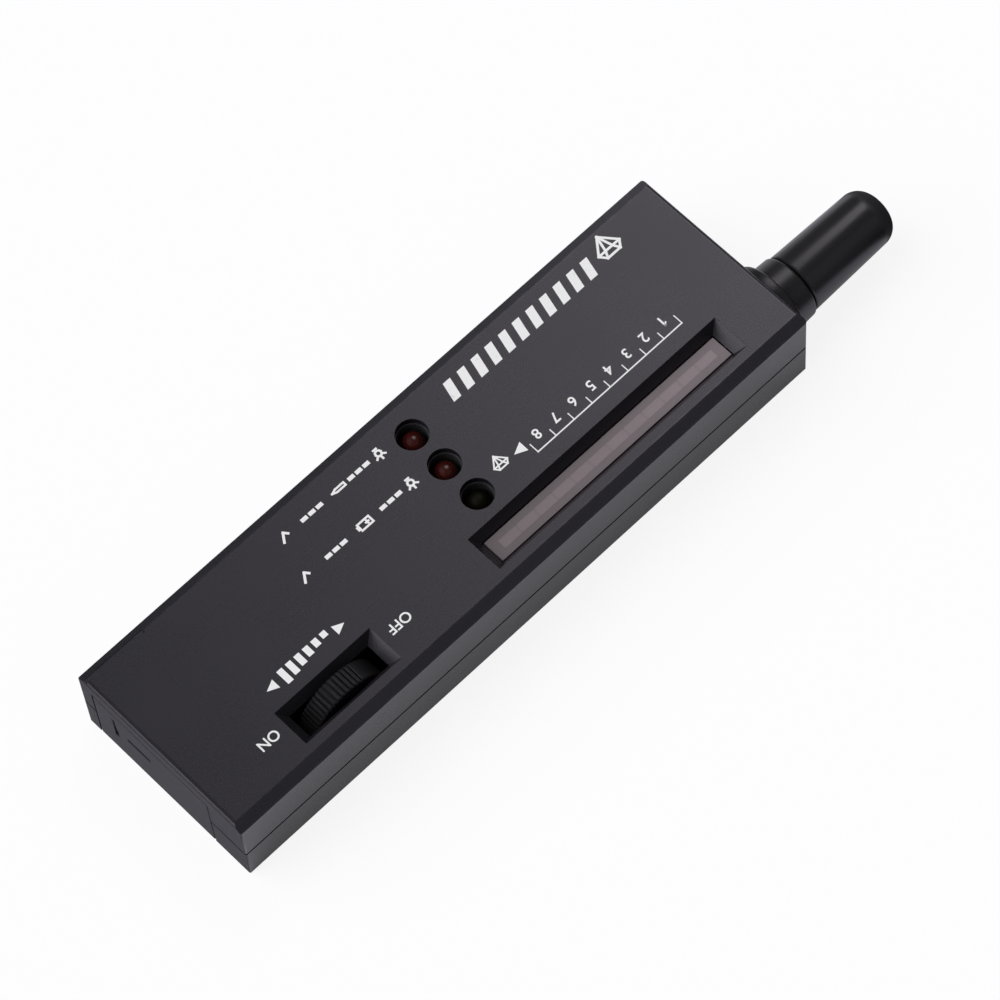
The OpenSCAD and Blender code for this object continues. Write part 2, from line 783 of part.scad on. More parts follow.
module seam_groove() {
    difference() {
        box([x_end - past, y_near - past, seam_z - past], [x_tip + past, y_far + past, seam_z + seam_gap]);
        linear_extrude(body_h) {
            square([body_l - 2 * seam_depth, body_w - 2 * seam_depth], center = true);
        }
    }
}

// A rectangular opening whose walls slope in to its lower edge
module bevelled_cut(l) {
    low_l = l / 2 - window_end_bevel;
    low_w = window_w / 2 - window_side_bevel;
    intersection() {
        along_y() linear_extrude(window_w + past, center = true) polygon([
            [-low_l, window_z - past], [low_l, window_z - past], [low_l, window_z],
            [l / 2, body_h], [l / 2, body_h + past], [-l / 2, body_h + past],
            [-l / 2, body_h], [-low_l, window_z]
        ]);
        along_x() linear_extrude(l + past, center = true) polygon([
            [-low_w, window_z - past], [low_w, window_z - past], [low_w, window_z],
            [window_w / 2, body_h], [window_w / 2, body_h + past], [-window_w / 2, body_h + past],
            [-window_w / 2, body_h], [-low_w, window_z]
        ]);
    }
}

module window_rim(x, l) {
    box([x - l / 2, row_y - window_w / 2, window_z], [x + l / 2, row_y + window_w / 2, ceiling + root]);
}

module flap_cut() {
    box([x_end - past, door_y0, -past], [-in_x + root / 2, door_y1, flap_top + door_gap]);
}

module probe_hole() {
    translate([in_x - past, probe_y, probe_z]) {
        rotate([0, 90, 0]) cylinder(d = barrel_d + 2 * barrel_gap, h = wall + 2 * past);
    }
}

module lamp_holes() {
    for (i = [0:2]) {
        translate([lamp_x, y_far - lamp_from_side - i * lamp_pitch, ceiling - past]) {
            cylinder(d = lamp_hole_d, h = top_wall + 2 * past);
        }
    }
}

module far_edge_groove() {
    box(
        [x_end - past, y_far - chamfer_in - edge_groove_d, body_h - edge_groove_h],
        [x_end + edge_groove_l, y_far - chamfer_in + edge_groove_d, body_h + past]
    );
}

module upper_shell() {
    color(shell_black) difference() {
        union() {
            difference() {
                housing_block();
                below_seam();
                cavity();
                seam_groove();
            }
            window_rim(display_x, display_window_l);
            window_rim(wheel_window_x, wheel_window_l);
            box(
                [wheel_window_x - wheel_window_l / 2, bay_y - bay_wall, seam_z],
                [wheel_window_x + wheel_window_l / 2, bay_y, ceiling + root]
            );
            for (place = case_screw_places) {
                translate([place[0], place[1], seam_z]) cylinder(d = boss_d, h = ceiling + root - seam_z);
            }
        }
        translate([display_x, row_y, 0]) bevelled_cut(display_window_l);
        translate([wheel_window_x, row_y, 0]) bevelled_cut(wheel_window_l);
        lamp_holes();
        flap_cut();
        probe_hole();
        far_edge_groove();
        for (place = case_screw_places) {
            translate([place[0], place[1], screw_seat_z]) {
                cylinder(d = screw_d + 2 * screw_gap, h = screw_l + blind_gap);
            }
        }
    }
}

module lower_shell() {
    color(shell_black) difference() {
        union() {
            difference() {
                housing_block();
                above_seam();
                cavity();
            }
            for (place = case_screw_places) {
                translate([place[0], place[1], floor_t - root]) {
                    cylinder(d = boss_d, h = seam_z - floor_t + root);
                }
            }
            for (place = post_places) {
                translate([place[0], place[1], floor_t - root]) {
                    cylinder(d = post_d, h = board_z - floor_t + root);
                }
            }
        }
        box([-in_x - past, door_y0 + ledge_w, -past], [door_x1, door_y1 - ledge_w, floor_t + past]);
        flap_cut();
        probe_hole();
        for (place = case_screw_places) {
            translate([place[0], place[1], -past]) {
                cylinder(d = screw_head_d + 4 * screw_gap, h = screw_seat_z + past);
                cylinder(d = screw_d + 2 * screw_gap, h = seam_z + 2 * past);
            }
        }
        for (place = post_places) {
            translate([place[0], place[1], board_top - small_screw_l - blind_gap]) {
                cylinder(d = small_screw_d + 2 * press_gap, h = small_screw_l + past);
            }
        }
        translate([plate_x, 0, -past]) {
            linear_extrude(plate_recess + past) {
                rounded_rectangle(plate_l + 2 * plate_gap, plate_w + 2 * plate_gap, corner_round);
            }
            cylinder(d = plate_stud_d + 2 * press_gap, h = floor_t + 2 * past);
        }
    }
}

module battery_door() {
    y0 = door_y0 + door_gap;
    y1 = door_y1 - door_gap;
    plate_y0 = door_y0 + ledge_w + door_gap;
    plate_y1 = door_y1 - ledge_w - door_gap;
    plate_top = floor_t + door_lift;
    grip_y = y1 - grip_up_from_edge;
    color(shell_black) difference() {
        union() {
            box([x_end, y0, door_lift], [x_end + flap_t, y1, flap_top]);
            box([x_end, plate_y0, door_lift], [door_x1 - door_gap, plate_y1, plate_top]);
            box([x_end, y0, runner_z], [door_x1 - door_gap, y0 + runner_w, runner_top]);
            box([x_end, y1 - runner_w, runner_z], [door_x1 - door_gap, y1, runner_top]);
        }
        box(
            [x_end - past, grip_y - grip_w / 2, grip_z - grip_up_l / 2],
            [x_end + grip_depth, grip_y + grip_w / 2, grip_z + grip_up_l / 2]
        );
        box(
            [x_end - past, grip_y - grip_apart - grip_level_l, grip_z - grip_w / 2],
            [x_end + grip_depth, grip_y - grip_apart, grip_z + grip_w / 2]
        );
        for (i = [0:rib_count - 1]) {
            translate([x_end + flap_t + (i + 2) * rib_pitch, (door_y0 + door_y1) / 2, door_lift]) {
                cube([rib_w, rib_l, 2 * rib_depth], center = true);
            }
        }
    }
}

module battery_pad() {
    z0 = floor_t + door_lift;
    color("dimgray") translate([battery_x0 + battery_l / 2, battery_y, z0]) {
        linear_extrude(pad_t) rounded_rectangle(pad_l, pad_w, corner_round);
    }
}

module case_screws() {
    color(metal_grey) for (place = case_screw_places) {
        translate([place[0], place[1], screw_seat_z]) screw(screw_d, screw_l, screw_head_d, screw_head_h);
    }
}

module touch_plate() {
    color(metal_grey) translate([plate_x, 0, plate_z]) {
        linear_extrude(plate_t) rounded_rectangle(plate_l, plate_w, corner_round);
        cylinder(d = plate_stud_d, h = stud_top - plate_z);
    }
}

module touch_plate_lead() {
    color("green") tube(
        [for (i = [0:2]) [plate_x, 0, stud_top + (board_z - stud_top) * i / 2]],
        wire_r, [1, 0, 0], lead_sides
    );
}

// Main board and what stands on it

module main_board() {
    edge = in_y - board_gap;
    color("darkgreen") difference() {
        translate([0, 0, board_z]) linear_extrude(board_t) polygon([
            [board_x0, -edge], [notch_x, -edge], [notch_x, notch_y],
            [board_x1, notch_y], [board_x1, edge], [board_x0, edge]
        ]);
        for (place = case_screw_places) {
            translate([place[0], place[1], board_z - past]) {
                cylinder(d = boss_d + 2 * board_gap, h = board_t + 2 * past);
            }
        }
        for (place = post_places) {
            translate([place[0], place[1], board_z - past]) {
                cylinder(d = small_screw_d + 2 * screw_gap, h = board_t + 2 * past);
            }
        }
    }
}

module board_screws() {
    color(metal_grey) for (place = post_places) {
        translate([place[0], place[1], board_top]) {
            mirror([0, 0, 1]) screw(small_screw_d, small_screw_l, small_head_d, small_head_h);
        }
    }
}

display_l = display_window_l - 2 * window_end_bevel - 2 * display_gap;
display_w = window_w - 2 * window_side_bevel - 2 * display_gap;
display_top = window_z;

module segment_row(grow) {
    for (i = [0:segment_count - 1]) {
        translate([
            display_x + (i - (segment_count - 1) / 2) * segment_pitch,
            row_y,
            display_top - segment_t / 2 + grow / 2
        ]) {
            cube([segment_l + 2 * grow, segment_w + 2 * grow, segment_t + grow], center = true);
        }
    }
}

module bar_display() {
    color("dimgray") difference() {
        box(
            [display_x - display_l / 2, row_y - display_w / 2, board_top],
            [display_x + display_l / 2, row_y + display_w / 2, display_top]
        );
        segment_row(segment_gap);
    }
}

module display_segments() {
    color("mistyrose") segment_row(0);
}

module lamp(place) {
    tip_z = body_h - lamp_recess;
    translate([lamp_x, y_far - lamp_from_side - place * lamp_pitch, 0]) {
        translate([0, 0, board_top]) cylinder(d = lamp_flange_d, h = lamp_flange_h);
        translate([0, 0, board_top]) cylinder(d = lamp_d, h = tip_z - lamp_d / 2 - board_top);
        translate([0, 0, tip_z - lamp_d / 2]) sphere(d = lamp_d);
    }
}

module ready_lamp() {
    color(lamp_red) lamp(0);
}

module battery_lamp() {
    color(lamp_red) lamp(1);
}

module diamond_lamp() {
    color(lamp_olive) lamp(2);
}

module buzzer() {
    buzzer_x0 = board_x0 + buzzer_edge_gap;
    buzzer_x1 = lamp_x - lamp_flange_d / 2 - buzzer_lamp_gap;
    buzzer_d = buzzer_x1 - buzzer_x0;
    buzzer_h = ceiling - buzzer_top_gap - board_top;
    place = [buzzer_x0 + buzzer_d / 2, y_far - buzzer_from_side, board_top];
    color(part_black) translate(place) difference() {
        cylinder(d = buzzer_d, h = buzzer_h);
        translate([0, 0, buzzer_h - buzzer_hole_depth]) {
            cylinder(d = buzzer_hole_d, h = 2 * buzzer_hole_depth);
        }
    }
}

// A chip's body on two rows of bent legs
module chip(legs) {
    l = legs * leg_pitch;
    leg_top = chip_stand + chip_h / 2;
    outer = (chip_row + leg_t) / 2;
    inner = (chip_row - leg_t) / 2;
    translate([-l / 2, -chip_w / 2, chip_stand]) cube([l, chip_w, chip_h]);
    for (i = [0:legs - 1]) {
        translate([(i - (legs - 1) / 2) * leg_pitch, 0, 0]) difference() {
            box([-leg_w / 2, -outer, 0], [leg_w / 2, outer, leg_top]);
            box([-leg_w, -inner, -past], [leg_w, inner, leg_top - leg_t]);
        }
    }
}

module amplifier_chip() {
    place = [lamp_x + chip_from_lamps, y_far - amplifier_from_side, board_top];
    color(part_black) translate(place) chip(amplifier_legs);
}

module bar_driver_chip() {
    place = [lamp_x + chip_from_lamps, y_far - amplifier_from_side - chip_apart, board_top];
    color(part_black) translate(place) chip(driver_legs);
}

module transistors() {
    color(part_black) for (i = [0:transistor_count - 1]) {
        translate([
            lamp_x + transistor_from_lamps + i * transistor_pitch,
            y_far - transistor_from_side,
            board_top
        ]) {
            translate([0, 0, transistor_stand]) linear_extrude(transistor_h) difference() {
                circle(d = transistor_d);
                translate([-transistor_d, transistor_flat]) square([2 * transistor_d, transistor_d]);
            }
            for (k = [-1:1]) {
                translate([k * transistor_leg_pitch, 0, 0]) {
                    cylinder(d = component_leg_d, h = transistor_stand + component_leg_d);
                }
            }
        }
    }
}

module resistors() {
    lift = resistor_d / 2 + component_leg_d / 2;
    color("tan") for (i = [0:resistor_count - 1]) {
        translate([
            lamp_x + resistor_from_lamps + i * resistor_pitch,
            y_far - resistor_from_side,
            board_top
        ]) {
            translate([0, 0, lift]) along_y() {
                cylinder(d = resistor_d, h = resistor_l, center = true);
                cylinder(d = component_leg_d, h = resistor_span, center = true);
            }
            for (side = [-1, 1]) {
                translate([0, side * (resistor_span - component_leg_d) / 2, 0]) {
                    cylinder(d = component_leg_d, h = lift);
                }
            }
        }
    }
}

module electrolytic_capacitors() {
    color("midnightblue") for (i = [0:can_count - 1]) {
        translate([lamp_x + can_from_lamps, y_far - can_from_side - i * can_pitch, board_top]) {
            cylinder(d = can_d, h = can_h);
        }
    }
}

module disc_capacitors() {
    lift = disc_stand + disc_d / 2;
    color("chocolate") for (i = [0:disc_count - 1]) {
        translate([lamp_x + disc_from_lamps + i * disc_pitch, y_far - disc_from_side, board_top]) {
            translate([0, 0, lift]) rotate([0, 90, 0]) cylinder(d = disc_d, h = disc_t, center = true);
            for (side = [-1, 1]) {
                translate([0, side * disc_d / 4, 0]) cylinder(d = component_leg_d, h = lift);
            }
        }
    }
}

module calibration_trimmers() {
    room = y_far - screw_from_side - boss_d / 2 - notch_y;
    trimmer_w = (room - 3 * trimmer_gap) / 2;
    color("royalblue") for (i = [0:1]) {
        y = notch_y + trimmer_gap + trimmer_w / 2 + i * (trimmer_w + trimmer_gap);
        translate([x_tip - trimmer_from_tip, y, board_top]) {
            difference() {
                union() {
                    translate([-trimmer_w / 2, -trimmer_w / 2, 0]) cube([trimmer_w, trimmer_w, trimmer_h]);
                    cylinder(d = trimmer_screw_d, h = trimmer_h + trimmer_screw_h);
                }
                translate([0, 0, trimmer_h + trimmer_screw_h]) {
                    cube([trimmer_screw_d + past, trimmer_slot_w, 2 * trimmer_slot_depth], center = true);
                }
            }
        }
    }
}

// Volume control

wheel_r = wheel_d / 2;
ridge_step = 360 / ridge_count;
ridged = ridge_count - smooth_count;
// Places of a ridge's four corners along one ridge step: two on its crest, two sunk below its groove
ridge_corners = [0.1, 0.45, 0.75, 0.8];

// Outline of the wheel seen along its axis: ridges with slanted flanks, and a smooth stretch
module wheel_outline() {
    root_r = wheel_r - ridge_depth;
    polygon([
        for (i = [0:ridged - 1], k = [0:3])
            let (r = k < 2 ? wheel_r : root_r - ridge_depth, a = (i + ridge_corners[k]) * ridge_step)
                r * [cos(a), sin(a)]
    ]);
    rotate(ridged * ridge_step) intersection() {
        circle(wheel_r);
        polygon([
            [0, 0],
            for (i = [0:smooth_count]) 2 * wheel_r * [cos(i * ridge_step), sin(i * ridge_step)]
        ]);
    }
    circle(root_r);
}

// The two bevels of the wheel, carried past its rim and its faces so that no two surfaces coincide
module bevelled_disc() {
    face_r = wheel_r - ridge_depth - wheel_bevel;
    rim_r = wheel_r + wheel_bevel;
    rim_z = rim_r - face_r;
    rotate_extrude() polygon([
        [0, -wheel_bevel], [face_r - wheel_bevel, -wheel_bevel], [rim_r, rim_z],
        [rim_r, wheel_t - rim_z], [face_r - wheel_bevel, wheel_t + wheel_bevel], [0, wheel_t + wheel_bevel]
    ]);
}

screw_pocket = small_head_h + 2 * press_gap;

module volume_wheel() {
    middle_of_smooth = (ridged + smooth_count / 2) * ridge_step;
    color(part_black) translate([wheel_x, wheel_y1, wheel_z]) along_y() difference() {
        intersection() {
            rotate(90 - smooth_turn - middle_of_smooth) linear_extrude(wheel_t) wheel_outline();
            bevelled_disc();
        }
        translate([0, 0, -past]) cylinder(d = small_head_d + 4 * screw_gap, h = screw_pocket + past);
        translate([0, 0, -past]) cylinder(d = small_screw_d + 2 * screw_gap, h = wheel_t + past);
        translate([0, 0, wheel_t - rotor_in_wheel]) {
            cylinder(d = rotor_d + 2 * press_gap, h = rotor_in_wheel + past);
        }
    }
}

module wheel_rotor() {
    hole_l = small_screw_l + rotor_in_wheel + screw_pocket - wheel_t + blind_gap;
    color("goldenrod") translate([wheel_x, rotor_y1, wheel_z]) along_y() difference() {
        cylinder(d = rotor_d, h = rotor_y1 - rotor_y0);
        translate([0, 0, -past]) cylinder(d = small_screw_d + 2 * press_gap, h = hole_l + past);
    }
}

module wheel_screw() {
    color(metal_grey) translate([wheel_x, wheel_y1 - screw_pocket, wheel_z]) {
        along_y() screw(small_screw_d, small_screw_l, small_head_d, small_head_h);
    }
}

module volume_pot() {
    color("silver") difference() {
        union() {
            translate([wheel_x, pot_y1, wheel_z]) along_y() cylinder(d = pot_d, h = pot_y1 - pot_y0);
            box(
                [wheel_x - pot_block_w / 2, pot_y0, pot_block_z],
                [wheel_x + pot_block_w / 2, pot_y1, wheel_z]
            );
        }
        translate([wheel_x, pot_y1 + past, wheel_z]) {
            along_y() cylinder(d = rotor_d + 2 * rotor_clear, h = pot_y1 - pot_y0 - pot_back + past);
        }
    }
}

module pot_terminals() {
    step = pot_block_w / terminal_count;
    color("gold") for (i = [0:terminal_count - 1]) {
        x = wheel_x + (i - (terminal_count - 1) / 2) * step;
        box(
            [x - terminal_w / 2, pot_y0, pot_block_z - terminal_l],
            [x + terminal_w / 2, pot_y0 + terminal_t, pot_block_z]
        );
    }
}

module volume_board() {
    color("darkgreen") box(
        [wheel_x - volume_board_l / 2, -in_y, floor_t],
        [wheel_x + volume_board_l / 2, -in_y + volume_board_t, ceiling - volume_board_top_gap]
    );
}

module volume_leads() {
    color("orange") for (i = [0:volume_lead_count - 1]) {
        tube(
            lead_route(
                volume_lead_start + [0, 0, i * lead_pitch], [0, 1, 0],
                volume_lead_end + [0, i * lead_pitch, 0], [0, 0, -1], volume_lead_reach
            ),
            wire_r, [0, 1, 1], lead_sides
        );
    }
}

// Battery

module battery() {
    color("slategray") translate([battery_x0, battery_y, battery_z]) along_x() linear_extrude(battery_l) {
        rounded_rectangle(battery_w, battery_t, battery_round);
    }
}

module poles(grow, h) {
    for (side = [-1, 1]) {
        translate([battery_x1, battery_y + side * battery_pole_pitch / 2, battery_z]) {
            rotate([0, 90, 0]) cylinder(d = (side < 0 ? pole_small_d : pole_large_d) + 2 * grow, h = h);
        }
    }
}

module battery_terminals() {
    color("silver") poles(0, pole_h);
}

module battery_snap() {
    color(part_black) difference() {
        union() {
            box(
                [snap_x, battery_y - snap_l / 2, battery_z - snap_h / 2],
                [snap_x + snap_t, battery_y + snap_l / 2, battery_z + snap_h / 2]
            );
            poles(snap_gap + snap_wall, pole_h + snap_gap + snap_t / 2);
        }
        translate([-past, 0, 0]) poles(snap_gap, pole_h + snap_gap + past);
    }
}

module battery_leads() {
    for (side = [-1, 1]) {
        shift = [0, side * lead_pitch / 2, 0];
        color(side < 0 ? "red" : "black") tube(
            lead_route(
                battery_lead_start + shift, [1, 0, 0],
                battery_lead_end + shift, [0, 0, -1], battery_lead_reach
            ),
            wire_r, [0, 1, 0], lead_sides
        );
    }
}

// Probe

module probe_collar() {
    bore_r = nose_shank_d / 2 + press_gap;
    color(part_black) turned_x(0, probe_y, probe_z) polygon([
        [bore_r, barrel_x], [barrel_d / 2, barrel_x], [barrel_d / 2, x_tip],
        [flange_d / 2, x_tip], [flange_d / 2, x_tip + flange_t],
        [collar_d / 2, x_tip + flange_t], [collar_end_d / 2, collar_x],
        [spigot_d / 2, collar_x], [spigot_d / 2, spigot_x], [bore_r, spigot_x]
    ]);
}

module collar_nut() {
    color("silver") translate([in_x - nut_t, probe_y, probe_z]) rotate([0, 90, 0]) difference() {
        rotate(30) cylinder(r = nut_reach, h = nut_t, $fn = 6);
        translate([0, 0, -past]) cylinder(d = barrel_d + 2 * press_gap, h = nut_t + 2 * past);
    }
}

module probe_nose() {
    color(part_black) turned_x(0, probe_y, probe_z) polygon([
        [spring_bore_d / 2, barrel_x], [nose_shank_d / 2, barrel_x], [nose_shank_d / 2, spigot_x],
        [nose_d / 2, spigot_x], [nose_d / 2, cone_x], [nose_end_d / 2, nose_x],
        [tip_d / 2 + tip_clear, nose_x], [tip_d / 2 + tip_clear, bore_end_x],
        [spring_bore_d / 2, bore_end_x]
    ]);
}

module probe_tip() {
    color("peru") {
        turned_x(0, probe_y, probe_z) polygon([
            [0, shoulder_x - shoulder_t - stem_l], [stem_d / 2, shoulder_x - shoulder_t - stem_l],
            [stem_d / 2, shoulder_x - shoulder_t], [shoulder_d / 2, shoulder_x - shoulder_t],
            [shoulder_d / 2, shoulder_x], [tip_d / 2, shoulder_x],
            [tip_d / 2, tip_x - tip_d / 2], [0, tip_x - tip_d / 2]
        ]);
        translate([tip_x - tip_d / 2, probe_y, probe_z]) sphere(d = tip_d);
    }
}

module heater_bead() {
    color("ivory") translate([shoulder_x - shoulder_t - stem_l, probe_y, probe_z]) {
        rotate([0, -90, 0]) cylinder(d = bead_d, h = bead_l);
    }
}

// The spring's wire: straight along X for one wire diameter, then the curls, then straight again
spring_run = spring_l - 2 * spring_wire_d;
curl_points = [
    for (i = [0:spring_curls * rings_per_curl])
        let (a = 360 * i / rings_per_curl, x = spring_run * i / (spring_curls * rings_per_curl))
            [spring_x0 + spring_wire_d + x, probe_y + spring_d / 2 * cos(a), probe_z + spring_d / 2 * sin(a)]
];
spring_path = concat(
    [[spring_x0, probe_y + spring_d / 2, probe_z]],
    curl_points,
    [[spring_x1, probe_y + spring_d / 2, probe_z]]
);
spring_least_gap = min([
    for (i = [0:len(curl_points) - 1], j = [0:len(curl_points) - 1])
        if (j - i >= rings_per_curl / 2) norm(curl_points[i] - curl_points[j])
]) - spring_wire_d;
echo(spring_least_gap = spring_least_gap);

module probe_spring() {
    color("silver") tube(spring_path, spring_wire_d / 2, [0, 1, 1.7], spring_sides);
}

module spring_plug() {
    color("ivory") translate([plug_x, probe_y, probe_z]) rotate([0, -90, 0]) difference() {
        cylinder(d = spring_bore_d - 2 * press_gap, h = plug_l);
        for (side = [-1, 1]) {
            translate([0, side * probe_lead_apart / 2, -past]) {
                cylinder(d = probe_lead_d + 2 * press_gap, h = plug_l + 2 * past);
            }
        }
    }
}

module probe_leads() {
    color("white") for (side = [-1, 1]) {
        shift = side * probe_lead_apart / 2;
        start = [plug_x - plug_l / 2, probe_y + shift, probe_z];
        bend = [barrel_x, probe_y + shift, probe_z];
        finish = probe_lead_end + [shift, 0, 0];
        tube(
            concat([start], lead_route(bend, [-1, 0, 0], finish, [0, 0, -1], probe_lead_reach)),
            probe_lead_d / 2, [1, 1, 1], lead_sides
        );
    }
}

module cap_outline() {
    intersection() {
        square([cap_d, cap_l]);
        union() {
            polygon([[0, 0], [cap_d / 2, 0], [cap_end_d / 2, cap_l - cap_round], [0, cap_l - cap_round]]);
            translate([cap_end_d / 2 - cap_round, cap_l - cap_round]) circle(cap_round);
            square([cap_end_d / 2 - cap_round, cap_l]);
        }
    }
}

module probe_cap() {
    bore_r = spigot_d / 2 + cap_clear;
    bore_l = cap_l - cap_end_t;
    color(part_black) turned_x(cap_x, probe_y, probe_z) difference() {
        cap_outline();
        polygon([
            [-past, -past], [bore_r, -past], [bore_r, bore_l - cap_bore_cone],
            [bore_r - cap_bore_cone, bore_l], [-past, bore_l]
        ]);
    }
}

upper_shell();
lower_shell();
battery_door();
battery_pad();
case_screws();
touch_plate();
touch_plate_lead();
main_board();
board_screws();
bar_display();
display_segments();
ready_lamp();
battery_lamp();
diamond_lamp();
volume_wheel();
wheel_rotor();
wheel_screw();
volume_pot();
pot_terminals();
volume_board();
volume_leads();
buzzer();
amplifier_chip();
bar_driver_chip();
transistors();
resistors();
electrolytic_capacitors();
disc_capacitors();
calibration_trimmers();
battery();
battery_terminals();
battery_snap();
battery_leads();
probe_collar();
collar_nut();
probe_nose();
probe_tip();
heater_bead();
probe_spring();
spring_plug();
probe_leads();
probe_cap();
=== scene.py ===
import math

import bmesh
import bpy
import numpy as np
from mathutils import Matrix, Vector


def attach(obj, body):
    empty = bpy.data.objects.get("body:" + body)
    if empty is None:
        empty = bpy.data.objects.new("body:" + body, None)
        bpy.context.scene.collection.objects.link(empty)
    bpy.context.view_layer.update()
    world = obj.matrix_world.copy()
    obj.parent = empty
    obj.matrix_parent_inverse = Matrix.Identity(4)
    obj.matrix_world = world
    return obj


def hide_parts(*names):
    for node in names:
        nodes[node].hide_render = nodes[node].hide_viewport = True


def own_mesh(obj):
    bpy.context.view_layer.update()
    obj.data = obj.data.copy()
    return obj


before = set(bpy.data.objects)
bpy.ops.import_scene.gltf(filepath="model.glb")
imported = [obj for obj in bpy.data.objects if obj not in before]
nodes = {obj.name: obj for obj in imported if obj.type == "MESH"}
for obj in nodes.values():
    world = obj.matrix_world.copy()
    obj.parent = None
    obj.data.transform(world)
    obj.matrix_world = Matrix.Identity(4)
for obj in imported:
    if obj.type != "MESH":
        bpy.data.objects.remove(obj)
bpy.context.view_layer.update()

# Camera: a long lens looks down on the tester from above its battery end and display side.
# The place and the three axes come from a pinhole fit to the housing's edges.
mm = 0.001
image_width = 1000
focal_pixels = 4944.95
camera_place = (-0.24216, -0.31845, 0.83090)
camera_right = (0.71545, -0.69700, -0.04808)
camera_down = (-0.64235, -0.62916, -0.43765)
camera_forward = (0.27480, 0.34400, -0.89786)
lens = bpy.data.cameras.new("photo_camera")
lens.sensor_width = 36
lens.lens = focal_pixels * lens.sensor_width / image_width
lens.clip_start = 0.01
camera = bpy.data.objects.new("photo_camera", lens)
axes = Matrix((camera_right, [-part for part in camera_down], [-part for part in camera_forward]))
camera.matrix_world = Matrix.Translation(camera_place) @ axes.transposed().to_4x4()
bpy.context.collection.objects.link(camera)
bpy.context.scene.camera = camera
bpy.context.scene.view_settings.view_transform = "Standard"


# Studio: a white paper sweep with two dark cards for the reflections, a soft box overhead and to the
# right, a strip light low on the left, a dim card in front, a small lamp above for the glint on the cap,
# and a broad fill from the left.
class Socket:
    """One output in a node tree: arithmetic on it adds Math nodes, and node() adds any other node."""

    def __init__(self, tree, link=None):
        self.tree = tree
        self.link = link

    def node(self, kind, settings=None, sockets=None, output=0):
        """Adds a node of that kind, sets it up, fills or links its inputs, and gives one of its outputs."""
        made = self.tree.nodes.new("ShaderNode" + kind)
        for key, value in (settings or {}).items():
            setattr(made, key, value)
        for key, value in (sockets or {}).items():
            self.feed(made.inputs[key], value)
        return Socket(self.tree, made.outputs[output])

    def feed(self, target, value):
        """Links a socket to an input, or sets the input to a number, vector or colour."""
        if isinstance(value, Socket):
            self.tree.links.new(value.link, target)
        elif target.type == "RGBA" and len(value) == 3:
            target.default_value = (*value, 1)
        else:
            target.default_value = value

    def math(self, operation, first, second=0.0):
        """Adds a Math node that does the operation on two values."""
        return self.node("Math", {"operation": operation}, {0: first, 1: second})

    def __add__(self, other):
        return self.math("ADD", self, other)

    def __sub__(self, other):
        return self.math("SUBTRACT", self, other)

    def __rsub__(self, other):
        return self.math("SUBTRACT", other, self)

    def __mul__(self, other):
        return self.math("MULTIPLY", self, other)

    def __truediv__(self, other):
        return self.math("DIVIDE", self, other)

    def __rtruediv__(self, other):
        return self.math("DIVIDE", other, self)

    def __gt__(self, other):
        return self.math("GREATER_THAN", self, other)

    def __lt__(self, other):
        return self.math("LESS_THAN", self, other)

    def __abs__(self):
        return self.math("ABSOLUTE", self)

    __radd__ = __add__
    __rmul__ = __mul__


paper_white, paper_fibre = (0.87, 0.86, 0.95), (0.88, 0.87, 0.955)
paper_glow, mirrored_glow = 0.88, 0.27
card_black = (0.02, 0.02, 0.02)
back_card = ((0.118, 0.103), (0.038, 0.052))
cap_card = ((0.1035, 0.107), (0.020, 0.010))
world_grey = (0.12, 0.12, 0.125)

world = bpy.data.worlds.new("studio")
world.use_nodes = True
world.node_tree.nodes["Background"].inputs["Color"].default_value = (*world_grey, 1)
bpy.context.scene.world = world


def studio_paper():
    """White paper: matt, with a faint fibre, and lifted towards plain white where it is seen or mirrored.

    Dark cards, which only mirrored rays see, lie on it behind the tester and past the cap. Each has two
    places along x and along y, where its edge is clear and where it is fully dark.
    """
    made = bpy.data.materials.new("studio_paper")
    made.use_nodes = True
    tree = made.node_tree
    tree.nodes.remove(tree.nodes["Principled BSDF"])
    start = Socket(tree)
    where = start.node("TexCoord", output="Object")
    fibre = start.node("TexNoise", sockets={"Vector": where, "Scale": 900, "Detail": 2})
    tone = start.node("Mix", {"data_type": "RGBA"}, {0: fibre, 6: paper_white, 7: paper_fibre}, 2)
    matt = start.node("BsdfDiffuse", sockets={"Color": tone})
    glow = start.node("Emission", sockets={"Color": (1, 1, 1), "Strength": 1})
    seen, mirrored, through = (
        start.node("LightPath", output="Is %s Ray" % kind) for kind in ("Camera", "Glossy", "Transmission")
    )
    share = seen * paper_glow + (mirrored + through) * mirrored_glow
    lit = start.node("MixShader", sockets={0: share, 1: matt, 2: glow})
    x, y = (start.node("SeparateXYZ", sockets={0: where}, output=axis) for axis in "XY")
    cards = 0
    for (x_clear, x_dark), (y_clear, y_dark) in (back_card, cap_card):
        across = start.node("MapRange", sockets={"Value": x, "From Min": x_clear, "From Max": x_dark})
        back = start.node("MapRange", sockets={"Value": y, "From Min": y_clear, "From Max": y_dark})
        cards = across * back + cards
    card = start.node("BsdfDiffuse", sockets={"Color": card_black})
    lit = start.node("MixShader", sockets={0: mirrored * cards, 1: lit, 2: card})
    start.feed(tree.nodes["Material Output"].inputs["Surface"], lit)
    return made


sweep_half, sweep_drop = 6, 0.0001
sweep_mesh = bpy.data.meshes.new("paper_sweep")
corners = sweep_half * np.array([[-1, -1, 0], [1, -1, 0], [1, 1, 0], [-1, 1, 0]]) - [0, 0, sweep_drop]
sweep_mesh.from_pydata(corners.tolist(), [], [[0, 1, 2, 3]])
sweep_mesh.materials.append(studio_paper())
sweep = bpy.data.objects.new("paper_sweep", sweep_mesh)
bpy.context.collection.objects.link(sweep)


